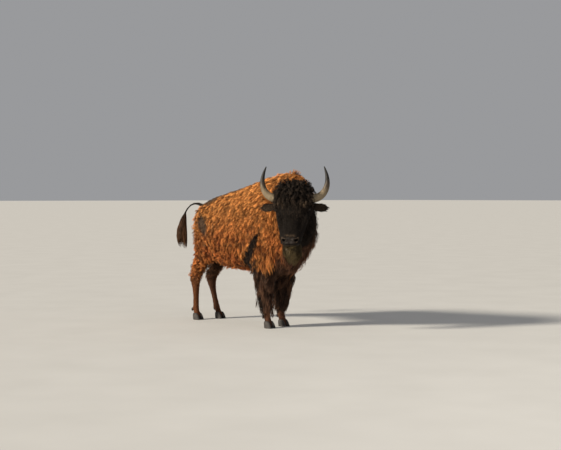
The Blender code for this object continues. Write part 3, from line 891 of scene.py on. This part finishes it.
def tuft_piece(name, roots, path, steps, home, material, rng):
    """Solid tapered tufts, three-sided, along their middle lines."""
    count, rings = len(path), len(steps) - 1
    tangent = unit(np.gradient(path, axis=1))
    side = np.cross(roots.normal, path[:, -1] - path[:, 0])[:, None]
    side = unit(side - tangent * (side * tangent).sum(axis=2, keepdims=True))
    top = np.cross(tangent, side)
    flip = np.sign((top * roots.normal[:, None]).sum(axis=2, keepdims=True))
    top = top * np.where(flip == 0, 1, flip)
    grow = roots.field["width"] * rng.uniform(0.75, 1.3, count)
    taper = np.sqrt(np.clip(1 - steps**2.2, 0, 1)) * (0.70 + 0.45 * np.minimum(steps * 3, 1))
    half = (grow[:, None] * taper[None])[:, :, None] / 2
    thin = TUFT_THICKNESS
    ring = np.stack(
        [path - side * half - top * half * thin * 0.6, path + side * half - top * half * thin * 0.6,
         path + top * half * thin], axis=2
    )[:, :rings]
    points = np.concatenate([ring.reshape(count, rings * 3, 3), path[:, -1:]], axis=1)
    per = rings * 3 + 1
    triangles = tuft_triangles(rings)[None] + (np.arange(count) * per)[:, None, None]
    triangles = triangles.reshape(-1, 3)
    mesh = new_mesh(name, points.reshape(-1, 3), triangles)
    along = np.append(np.repeat(steps[:rings], 3), 1.0)
    put_field(mesh, "along", np.tile(along, count))
    tone = 0.5 + 0.13 * rng.normal(size=count) + 0.24 * rng.normal(size=count)[home]
    tone = tone + 0.14 * ridges(roots.point[home])
    tone = tone - 0.55 * smoothstep(0.55, 0.85, ridges(roots.point[home], 0.040, 24))
    tone = np.clip(tone - 0.5 * (rng.random(count)[home] < 0.10), 0, 1)
    put_field(mesh, "tone", np.repeat(tone, per))
    for mark in MARKS:
        put_field(mesh, mark, np.repeat(roots.field[mark], per))
    across = np.append(np.tile((-0.5, 0.5, 0.0), rings), 0.0)
    down = along - 0.5
    down[2] += 0.15
    patch = np.column_stack([across, down]) * PATCH
    uv = np.clip(roots.uv[:, None] + patch[None], 0.0005, 0.9995).reshape(-1, 2)
    layer = mesh.uv_layers.new(name="OFBake")
    layer.data.foreach_set("uv", uv[triangles.ravel()].astype(np.float32).ravel())
    return new_object(name, mesh, material)


def tuft_triangles(rings):
    """Triangles of one tuft: its root end, its sides and its tip."""
    made = [(0, 1, 2)]
    for i in range(rings - 1):
        for j in range(3):
            a, b = i * 3 + j, i * 3 + (j + 1) % 3
            made += [(a, a + 3, b + 3), (a, b + 3, b)]
    last, tip = (rings - 1) * 3, rings * 3
    made += [(last + j, tip, last + (j + 1) % 3) for j in range(3)]
    return np.array(made)


STRAIGHT = np.array((0.0, 1.0))
WAVY = np.array((0.0, 0.30, 0.64, 1.0))
LONG = np.array((0.0, 0.22, 0.50, 0.78, 1.0))
CURL = np.linspace(0, 1, 5)
CURLY = np.linspace(0, 1, 12)


def both(name, slot, mask, left, habit):
    """A left and a right piece of the same coat."""
    return ((name + "_left", slot, mask & left, *habit), (name + "_right", slot, mask & ~left, *habit))


def coat_regions(roots, head):
    """Each coat piece: its name, slot and roots, the steps along a tuft, locks to a tuft, how far
    locks turn from the lie, how much tufts close up into their lock, their coils, how upright
    they stand and how lumpy they lie."""
    x, y, z = roots.point.T
    u, _, w = head.coords(roots.point)
    kind = masks(roots.kind)
    left = x > MIDLINE
    chance = roots.field["chance"]
    mop = (kind["mop"] | kind["head"]) & (w + 0.04 * chance < 0.175)
    brow = kind["head"] & ~mop & (w + 0.12 * chance < 0.36)
    chaps = kind["leg_front"] & (z > 0.235)
    thigh = kind["leg_hind"] & (z > 0.42 + 0.07 * chance + 0.02 * ripple(roots.point, 0.06, 16))
    shank = (kind["leg_front"] | kind["leg_hind"]) & ~chaps & ~thigh
    woolly = kind["hump"] | kind["neck"] | kind["trunk"] | thigh
    lock = chance < 0.47
    rump = kind["trunk"] & (y > 0.30)
    flank = kind["trunk"] & ~rump & (z > 0.80)
    belly = kind["trunk"] & ~rump & ~flank
    felt = (STRAIGHT, 0.30, 1.10, 0.30, 1.0, 0.70, 0.30)
    wool = (WAVY, 0.15, 0.45, 0.62, 0.9, 1.0, 0.60)
    lumpy = (WAVY, 0.12, 1.20, 0.66, 1.0, 1.0, 0.55)
    long_hair = (LONG, 0.06, 0.30, 0.75, 1.2, 1.0, 0.0)
    short_hair = (STRAIGHT, 0.10, 0.22, 0.40, 1.0, 0.55, 0.0)
    return (
        *both("undercoat", "wool", woolly & ~lock, left, felt),
        *both("coat_hump", "wool", lock & kind["hump"], left, wool),
        *both("coat_flank", "wool", lock & flank, left, wool),
        ("coat_belly", "wool", lock & belly, *lumpy),
        *both("coat_rump", "wool", lock & rump, left, lumpy),
        *both("coat_neck", "wool", lock & kind["neck"], u > 0, wool),
        ("coat_thighs", "wool", lock & thigh, *lumpy),
        *both("coat_chaps", "brown_hair", chaps, left, long_hair),
        ("coat_shanks", "brown_hair", shank, STRAIGHT, 0.10, 0.40, 0.40, 1.0, 1.0, 0.3),
        ("coat_mop", "dark_hair", mop, CURLY, 0.16, 0.9, 0.80, 1.8, 1.0, 0.25),
        ("coat_brow", "dark_hair", brow, CURL, 0.25, 0.7, 0.60, 1.0, 0.8, 0.2),
        ("coat_face", "dark_hair", kind["head"] & ~mop & ~brow, STRAIGHT, 0.06, 0.30, 0.50, 1.0, 1.0, 0.3),
        ("coat_tail", "dark_hair", kind["tail"], *short_hair),
        ("coat_ears", "dark_hair", kind["ear"], STRAIGHT, 0.05, 0.35, 0.50, 1.0, 1.0, 0.3),
    )


# Hanging hair: each row is z, the middle line's x and y, half width and half depth
def beard_rows(head):
    middle = head.place(0, -0.075, 0.475)
    rows = (
        (0.960, 0.072, 0.064), (0.880, 0.092, 0.086), (0.810, 0.090, 0.084),
        (0.745, 0.074, 0.066), (0.695, 0.052, 0.044), (0.660, 0.034, 0.028),
    )
    return np.array([(z, middle[0], middle[1], half, deep) for z, half, deep in rows])


TUFT_ROWS = np.array(
    (
        (1.225, 0.000, 1.118, 0.018, 0.018), (1.188, -0.008, 1.140, 0.021, 0.021),
        (1.100, -0.014, 1.165, 0.036, 0.038), (1.010, -0.020, 1.180, 0.054, 0.054),
        (0.920, -0.020, 1.184, 0.060, 0.056), (0.840, -0.017, 1.177, 0.054, 0.046),
        (0.780, -0.014, 1.170, 0.044, 0.036),
    )
)


def hanging_paths(skin, rows, count, tops, tips, steps, wave, head, rng):
    """Hairs that leave the skin at the top of a bundle and hang down within its outline."""
    rows = rows[::-1]
    lock = rng.integers(0, LOCKS, count)
    lock_turn = rng.uniform(0, 2 * math.pi, LOCKS)[lock]
    lock_reach = np.sqrt(rng.random(LOCKS))[lock]
    lock_tip = rng.uniform(*tips, LOCKS)[lock]
    drift = rng.normal(size=(LOCKS, 3))[lock]
    own = rng.normal(size=(count, 2)) * 0.34
    top = rng.uniform(*tops, count)
    tip = lock_tip + rng.uniform(0, 0.09, count)
    path = np.empty((count, len(steps), 3))
    for i, t in enumerate(steps):
        z = top + (tip - top) * t
        x, y, half, deep = (np.interp(z, rows[:, 0], rows[:, k]) for k in range(1, 5))
        bend = lock_turn + 0.15 * drift[:, 0] * t
        loose = own * (1 - 0.80 * t**1.5)
        sway = wave * np.sin(8 * t + drift[:, 2] * 2)[:, None] * t
        spot = np.column_stack([np.cos(bend), np.sin(bend)]) * lock_reach[:, None] + loose
        spot /= np.maximum(1, np.linalg.norm(spot, axis=1))[:, None]
        spot = spot * np.column_stack([half, deep]) + sway * drift[:, :2]
        path[:, i, :2] = np.column_stack([x, y]) + spot @ np.array([head.left[:2], head.ahead[:2]])
        path[:, i, 2] = z
    roots = skin.nearest(path[:, 0])
    ease = (1 - smoothstep(0.0, 0.35, steps))[None, :, None]
    path = path + (roots.point - path[:, 0])[:, None] * ease
    path[:, 0] = roots.point - roots.normal * 0.004
    return roots, path, lock


def hanging_piece(name, skin, rows, count, tops, tips, marks, width, wave, head, material, rng):
    """A bundle of hanging hair, with the same markings all over."""
    steps = np.array((0.0, 0.15, 0.35, 0.58, 0.80, 1.0))
    roots, path, lock = hanging_paths(skin, rows, count, tops, tips, steps, wave, head, rng)
    roots.field = {mark: np.full(count, marks.get(mark, 0.0)) for mark in MARKS}
    roots.field["width"] = np.full(count, width)
    return tuft_piece(name, roots, path, steps, lock, material, rng)


# Colour


class Look:
    """A material, and the nodes that colour it."""

    def __init__(self, name):
        self.material = bpy.data.materials.new(name)
        self.material.use_nodes = True
        self.tree = self.material.node_tree
        self.shader = self.tree.nodes["Principled BSDF"]

    def feed(self, socket, value):
        """Gives a socket a number, a colour or a link."""
        if isinstance(value, (int, float, tuple)):
            socket.default_value = value
        else:
            self.tree.links.new(value, socket)

    def wear(self, sockets):
        """Feeds the shader's own sockets."""
        for name, value in sockets.items():
            self.feed(self.shader.inputs[name], value)
        return self.material

    def node(self, kind, output, inputs, **settings):
        made = self.tree.nodes.new(kind)
        for name, value in settings.items():
            setattr(made, name, value)
        for socket, value in inputs.items():
            self.feed(made.inputs[socket], value)
        return made.outputs[output]

    def attribute(self, name):
        return self.node("ShaderNodeAttribute", "Fac", {}, attribute_name=name)

    def maths(self, operation, first, second, clamp=False):
        return self.node("ShaderNodeMath", 0, {0: first, 1: second}, operation=operation, use_clamp=clamp)

    def plus(self, base, value, weight, clamp=False):
        """The base with so much of the value added."""
        return self.maths("ADD", base, self.maths("MULTIPLY", value, weight), clamp)

    def mixed(self, factor, first, second, blend="MIX"):
        inputs = {0: factor, 6: first, 7: second}
        return self.node("ShaderNodeMix", 2, inputs, data_type="RGBA", blend_type=blend)

    def ramp(self, factor, *stops):
        """Colours along a factor, each stop with its place, red, green and blue."""
        made = self.tree.nodes.new("ShaderNodeValToRGB")
        elements = made.color_ramp.elements
        while len(elements) < len(stops):
            elements.new(0.5)
        for element, (place, *colour) in zip(elements, stops):
            element.position = place
            element.color = (*colour, 1)
        self.feed(made.inputs["Fac"], factor)
        return made.outputs["Color"]

    def noise(self, scale, detail, stretch=(1, 1, 1)):
        place = self.node("ShaderNodeTexCoord", "Object", {})
        place = self.node("ShaderNodeMapping", "Vector", {"Vector": place, "Scale": stretch})
        return self.node("ShaderNodeTexNoise", "Fac", {"Vector": place, "Scale": scale, "Detail": detail})

    def bump(self, height, strength, distance):
        inputs = {"Height": height, "Strength": strength, "Distance": distance}
        return self.node("ShaderNodeBump", "Normal", inputs)


# The coat's colours along a tuft, each stop with its place, red, green and blue. Each ramp darkens to near
# black at the root: partly the darker undercoat, partly painted shade in the gaps between the locks
SHADES = {
    "wool": (
        (0.0, 0.035, 0.011, 0.004), (0.25, 0.26, 0.088, 0.023),
        (0.55, 0.56, 0.215, 0.053), (1.0, 0.84, 0.390, 0.115),
    ),
    "rust": ((0.0, 0.022, 0.006, 0.003), (0.35, 0.23, 0.055, 0.014), (1.0, 0.66, 0.200, 0.046)),
    "black": ((0.0, 0.003, 0.002, 0.0015), (0.5, 0.012, 0.0075, 0.005), (1.0, 0.040, 0.026, 0.017)),
    "brown": ((0.0, 0.028, 0.011, 0.006), (0.5, 0.115, 0.048, 0.024), (1.0, 0.22, 0.105, 0.055)),
    "old": ((0.0, 0.035, 0.020, 0.012), (0.5, 0.095, 0.055, 0.032), (1.0, 0.165, 0.098, 0.058)),
    "olive": ((0.0, 0.014, 0.010, 0.005), (0.5, 0.065, 0.045, 0.020), (1.0, 0.17, 0.122, 0.055)),
    "tan": ((0.0, 0.035, 0.022, 0.014), (0.5, 0.170, 0.112, 0.068), (1.0, 0.28, 0.190, 0.115)),
}


def coat_colour(look, along):
    """The coat's markings and its painted shade, from its fields, the same on skin and tufts."""
    patchy = look.noise(9.0, 4.0)
    fine = look.noise(140.0, 2.0)
    place = look.plus(along, look.maths("SUBTRACT", fine, 0.5), 0.5)
    shade = {name: look.ramp(place, *stops) for name, stops in SHADES.items()}
    red = look.attribute("red")
    rusty = look.maths("MULTIPLY", red, look.maths("ADD", patchy, 0.35), True)
    colour = look.mixed(rusty, shade["wool"], shade["rust"])
    shade["dark"] = look.mixed(red, shade["black"], shade["brown"])
    # the dark mark holds the coat's own dark hair and the painted shade in the elbow creases and between the
    # hind legs
    for mark, name in (("shed", "old"), ("dark", "dark"), ("olive", "olive"), ("tan", "tan")):
        colour = look.mixed(look.attribute(mark), colour, shade[name])
    light = look.plus(look.maths("MULTIPLY", look.attribute("tone"), 1.15), patchy, 0.6)
    light = look.maths("ADD", light, 0.17)
    scale = look.node("ShaderNodeCombineColor", 0, {0: light, 1: light, 2: light})
    return look.mixed(1.0, colour, scale, "MULTIPLY")


def coat_material(name, roughness, specular):
    look = Look(name)
    colour = coat_colour(look, look.attribute("along"))
    return look.wear({"Base Color": colour, "Roughness": roughness, "Specular IOR Level": specular})


def skin_material():
    """The coat's darker root colours between the tufts, partly painted shade, and dark leather where the
    skin is bare.
    """
    look = Look("skin")
    hairs = look.noise(260.0, 3.0, (1, 1, 0.25))
    colour = coat_colour(look, look.maths("MULTIPLY", hairs, 0.50))
    bare, nostril_shade = look.attribute("bare"), look.attribute("nostril_shade")
    leather = look.ramp(look.noise(90.0, 3.0), (0.3, 0.005, 0.0032, 0.0022), (0.7, 0.020, 0.0125, 0.0085))
    colour = look.mixed(bare, colour, leather)
    # near black inside the nostrils: painted shade, as the openings are shallow
    colour = look.mixed(nostril_shade, colour, (0.0015, 0.001, 0.001, 1))
    rough = look.plus(look.plus(0.92, bare, -0.40), nostril_shade, 0.45, True)
    return look.wear({
        "Base Color": colour, "Roughness": rough, "Specular IOR Level": 0.16,
        "Normal": look.bump(hairs, 0.8, 0.0030),
    })


def horn_material():
    """Pale grey-brown horn with streaks along it, black at the tips."""
    look = Look("horn")
    streaks = look.noise(75.0, 5.0, (1, 1, 0.12))
    place = look.plus(look.attribute("along"), look.maths("SUBTRACT", streaks, 0.5), 0.55)
    colour = look.ramp(
        place, (0.0, 0.060, 0.044, 0.028), (0.16, 0.24, 0.185, 0.115), (0.40, 0.17, 0.125, 0.074),
        (0.58, 0.050, 0.034, 0.021), (0.72, 0.008, 0.0062, 0.0050),
    )
    return look.wear({
        "Base Color": colour, "Roughness": look.plus(0.38, streaks, 0.36),
        "Specular IOR Level": 0.32, "Normal": look.bump(streaks, 0.35, 0.0015),
    })


def hoof_material():
    """Dark horn with level growth bands."""
    look = Look("hoof")
    bands = look.noise(70.0, 4.0, (0.25, 0.25, 1.6))
    colour = look.ramp(
        bands, (0.3, 0.010, 0.008, 0.007), (0.55, 0.028, 0.022, 0.019), (0.8, 0.075, 0.060, 0.048)
    )
    rough = look.plus(0.55, bands, 0.35)
    return look.wear({"Base Color": colour, "Roughness": rough, "Normal": look.bump(bands, 0.4, 0.001)})


def eye_material():
    """Pupil, dark brown iris and dark white, by how far a point lies from the gaze."""
    look = Look("eye")
    ring = look.plus(look.attribute("gaze"), look.noise(500.0, 3.0), 0.10)
    colour = look.ramp(
        ring, (0.0, 0.002, 0.002, 0.002), (0.26, 0.002, 0.0015, 0.001), (0.32, 0.012, 0.006, 0.003),
        (0.55, 0.018, 0.008, 0.004), (0.66, 0.004, 0.0025, 0.002), (0.80, 0.012, 0.008, 0.006),
    )
    return look.wear({
        "Base Color": colour, "Roughness": 0.10, "Specular IOR Level": 0.25,
        "Coat Weight": 0.15, "Coat Roughness": 0.03,
    })


# Eyes, horns and hooves


def eye_piece(head, side, material):
    """An eyeball with a raised cornea, its iris and a level oval pupil."""
    centre, gaze, along, across = eye_axes(head, side)
    mesh, points = unit_ball("eye", 40, 28)
    x, y, h = points.T
    tilt = np.arccos(np.clip(h, -1, 1))
    bulge = 1 + 0.07 * hill(tilt, 0.50)
    placed = centre + EYE_RADIUS * bulge[:, None] * (
        along * x[:, None] + across * y[:, None] + gaze * h[:, None]
    )
    if np.cross(along, across) @ gaze < 0:
        mesh.flip_normals()
    move_points(mesh, placed)
    oval = np.hypot(x * 0.62, y * 1.25) * smoothstep(-0.2, 0.0, h) + 1.0 * (h < 0)
    iris = np.clip(tilt / 0.95, 0, 1)
    put_field(mesh, "gaze", np.where(oval < 0.20, oval, np.maximum(iris, 0.34)))
    return new_object("eyeball_" + ("left" if side > 0 else "right"), mesh, material)


def horn_piece(head, side, material):
    """A horn on its curve, ridged at the root and smooth to its tip."""
    steps, around = 120, 32
    angle = np.linspace(0, 2 * math.pi, around, endpoint=False)
    place = head.poll + head.left * (side * HORN_ROOT[0]) + head.ahead * HORN_ROOT[1] + UP * HORN_ROOT[2]
    rings, along_ring = [], []
    for t in np.linspace(0, 1, steps):
        turn = HORN_START + HORN_TURN * (1 - (1 - max(0.0, t - HORN_LAG)) ** HORN_EASE)
        rise = UP - head.ahead * HORN_LEAN
        along = unit(head.left * (side * math.cos(turn)) + rise * math.sin(turn))
        across = unit(np.cross(along, head.ahead))
        thick = np.cross(along, across)
        radius = HORN_TIP + (HORN_RADIUS - HORN_TIP) * (1 - t) ** 0.8
        ridge = 0.0013 * math.sin(t * 95 + 1.5 * math.sin(t * 17)) * smoothstep(0.62, 0.12, t)
        flute = 0.0006 * np.sin(angle * 9 + t * 3) * smoothstep(0.7, 0.2, t)
        size = np.minimum(radius, radius + ridge + flute)[:, None]
        rings.append(place + size * (across * np.cos(angle)[:, None] + thick * np.sin(angle)[:, None]))
        along_ring.append(np.full(around, t))
        place = place + along * (HORN_LENGTH / (steps - 1))
    triangles = tube_triangles(steps, around)
    surface = Surface(np.concatenate(rings), triangles)
    if (surface.normals()[:around] @ (rings[0].mean(axis=0) - rings[0][0])).sum() > 0:
        triangles = triangles[:, ::-1]
    mesh = new_mesh("horn", surface.points, triangles)
    put_field(mesh, "along", np.concatenate(along_ring))
    return new_object("horn_sheath_" + ("left" if side > 0 else "right"), mesh, material)


def hoof_piece(node, material):
    """A toe's hoof: flat sole, growth rings on the wall and a rounded coronet."""
    low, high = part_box(node)
    middle = ((low.x + high.x) / 2, low.y + 0.062)
    rows = np.array(
        (
            (0.000, 0.000, 0.0245, 0.061, 0.043), (0.003, 0.0005, 0.0255, 0.062, 0.044),
            (0.012, 0.002, 0.0255, 0.061, 0.045), (0.045, 0.010, 0.0225, 0.050, 0.044),
            (0.066, 0.016, 0.0180, 0.036, 0.036), (0.074, 0.018, 0.0120, 0.026, 0.026),
        )
    )
    heights = np.concatenate([(0, 0.0015, 0.003), np.linspace(0.006, 0.074, 26)])
    around = 40
    angle = np.linspace(0, 2 * math.pi, around, endpoint=False)
    c, s = np.cos(angle), np.sin(angle)
    rings = []
    for z in heights:
        back, half, ahead, behind = (np.interp(z, rows[:, 0], rows[:, i]) for i in range(1, 5))
        ripple_in = 0.0005 * (1 + math.sin(z * 900)) * smoothstep(0.004, 0.012, z)
        across = np.sign(c) * abs(c) ** np.where(s > 0, 1.15, 0.8) * (half - ripple_in)
        deep = np.where(s > 0, ahead - ripple_in, behind - ripple_in) * s
        rings.append(np.column_stack([middle[0] + across, middle[1] + back - deep, np.full(around, z)]))
    triangles = tube_triangles(len(heights), around)[:, ::-1]
    mesh = new_mesh(node, np.concatenate(rings), triangles)
    return new_object(node.replace("toe", "hoof"), mesh, material)


def claw_piece(node, material):
    """A dewclaw: a blunt cone that points down and back."""
    low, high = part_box(node)
    centre = np.array((low + high) / 2)
    size = np.array((high - low) / 2)
    mesh, points = unit_ball(node, 24, 18)
    pinch = 1 - 0.35 * smoothstep(0.1, -1.0, points[:, 2])
    ring = 1 + 0.03 * np.sin(points[:, 2] * 22)
    points[:, :2] *= (pinch * ring)[:, None]
    points[:, 1] += 0.25 * smoothstep(0.2, -1.0, points[:, 2])
    move_points(mesh, centre + points * size)
    return new_object(node.replace("dewclaw", "claw"), mesh, material)


# Floor, light and camera


def stage():
    """A pale floor that runs to the horizon, under an even sky."""
    bm = bmesh.new()
    bmesh.ops.create_grid(bm, x_segments=1, y_segments=1, size=FLOOR_HALF)
    look = Look("floor")
    colour = look.ramp(look.noise(1.5, 2.0), (0.3, 0.55, 0.54, 0.52), (0.7, 0.58, 0.57, 0.55))
    floor = new_object("floor", from_bmesh("floor", bm), look.wear({"Base Color": colour, "Roughness": 0.9}))
    world = bpy.data.worlds.new("studio")
    world.use_nodes = True
    background = world.node_tree.nodes["Background"]
    background.inputs["Color"].default_value = (0.86, 0.87, 0.90, 1)
    background.inputs["Strength"].default_value = SKY_STRENGTH
    bpy.context.scene.world = world
    bpy.context.scene.view_settings.view_transform = "Standard"


def lights():
    """A low warm sun with soft shadows, and a large lamp that fills them."""
    sun = bpy.data.lights.new("key", "SUN")
    sun.energy = SUN_STRENGTH
    sun.angle = math.radians(9)
    sun.color = (1.0, 0.92, 0.78)
    key = new_object("key", sun)
    key.rotation_euler = Vector(SUN_FROM).to_track_quat("Z", "Y").to_euler()
    disk = bpy.data.lights.new("fill", "AREA")
    disk.shape = "DISK"
    disk.size = 5.0
    disk.energy = FILL_POWER
    disk.color = (1.0, 0.98, 0.95)
    fill = new_object("fill", disk)
    fill.location = (-1.0, -9.0, 4.0)
    fill.rotation_euler = (Vector((0, 0, 0.9)) - fill.location).to_track_quat("-Z", "Y").to_euler()


def camera():
    data = bpy.data.cameras.new("camera")
    data.lens = CAMERA_LENS
    data.sensor_width = 36
    view = new_object("camera", data)
    ahead = (math.sin(CAMERA_AZIMUTH), -math.cos(CAMERA_AZIMUTH))
    view.location = (ahead[0] * CAMERA_DISTANCE, ahead[1] * CAMERA_DISTANCE, CAMERA_HEIGHT)
    view.rotation_euler = (math.pi / 2 - CAMERA_PITCH, 0, CAMERA_AZIMUTH - CAMERA_YAW)
    bpy.context.scene.camera = view


def settle(piece, slot, *replaced):
    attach(piece, "root")
    if replaced:
        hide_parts(*replaced)


def main():
    head = Head()
    rng = np.random.default_rng(SEED)
    looks = {
        "wool": coat_material("wool", 0.75, 0.20),
        "dark_hair": coat_material("dark_hair", 0.70, 0.18),
        "brown_hair": coat_material("brown_hair", 0.70, 0.20),
        "horn": horn_material(),
        "hoof": hoof_material(),
        "eye": eye_material(),
    }
    surface, kind = build_skin(head)
    mesh = new_mesh("skin", surface.points, surface.triangles)
    skin = new_object("skin", mesh)
    uv = unwrap(skin)
    fields = coat_fields(surface, kind, head, 5)
    fields["bare"], fields["tan"], fields["nostril_shade"] = bare_skin(surface.points, kind, head)
    fields["density"] = fields["density"] * (1 - np.clip(fields["bare"] * 1.3, 0, 1))
    for name in MARKS + ("bare", "nostril_shade"):
        put_field(mesh, name, fields[name])
    put_field(mesh, "tone", np.full(len(surface.points), 0.35))
    mesh.materials.append(skin_material())
    settle(skin, "wool", "trunk", "hump", "neck", "head", "mop", "tail", "ear_left", "ear_right", *LEGS)
    flesh = Skin(surface, kind, uv, fields, head)
    roots = flesh.scattered(rng)
    for name, slot, mask, steps, *habit in coat_regions(roots, head):
        some = roots.where(mask)
        path, home = tuft_paths(some, steps, rng, *habit)
        piece = tuft_piece(name, some, path, steps, home, looks[slot], rng)
        settle(piece, slot)
    beard = hanging_piece(
        "coat_beard", flesh, beard_rows(head), count=2600, tops=(0.90, 0.95), tips=(0.67, 0.80),
        marks={"dark": 1.0, "olive": 0.90}, width=0.0036, wave=0.010,
        head=head, material=looks["dark_hair"], rng=rng,
    )
    settle(beard, "dark_hair", "beard")
    tuft = hanging_piece(
        "coat_tail_tuft", flesh, TUFT_ROWS, count=2200, tops=(1.05, 1.20), tips=(0.765, 0.95),
        marks={"dark": 0.60, "shed": 0.80, "red": 0.40}, width=0.0034, wave=0.006,
        head=head, material=looks["dark_hair"], rng=rng,
    )
    settle(tuft, "dark_hair", "tail_tuft")
    for side, word in ((1, "left"), (-1, "right")):
        settle(eye_piece(head, side, looks["eye"]), "eye", "eye_" + word)
        settle(horn_piece(head, side, looks["horn"]), "horn", "horn_" + word)
    for node in TOES:
        settle(hoof_piece(node, looks["hoof"]), "hoof", node)
    for node in CLAWS:
        settle(claw_piece(node, looks["hoof"]), "hoof", node)
    stage()
    lights()
    camera()


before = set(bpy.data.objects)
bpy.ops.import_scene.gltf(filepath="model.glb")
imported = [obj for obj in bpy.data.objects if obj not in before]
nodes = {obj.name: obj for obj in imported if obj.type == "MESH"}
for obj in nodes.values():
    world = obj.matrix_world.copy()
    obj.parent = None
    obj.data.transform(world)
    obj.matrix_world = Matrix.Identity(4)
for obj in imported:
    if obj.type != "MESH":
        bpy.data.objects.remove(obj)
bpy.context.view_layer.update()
main()
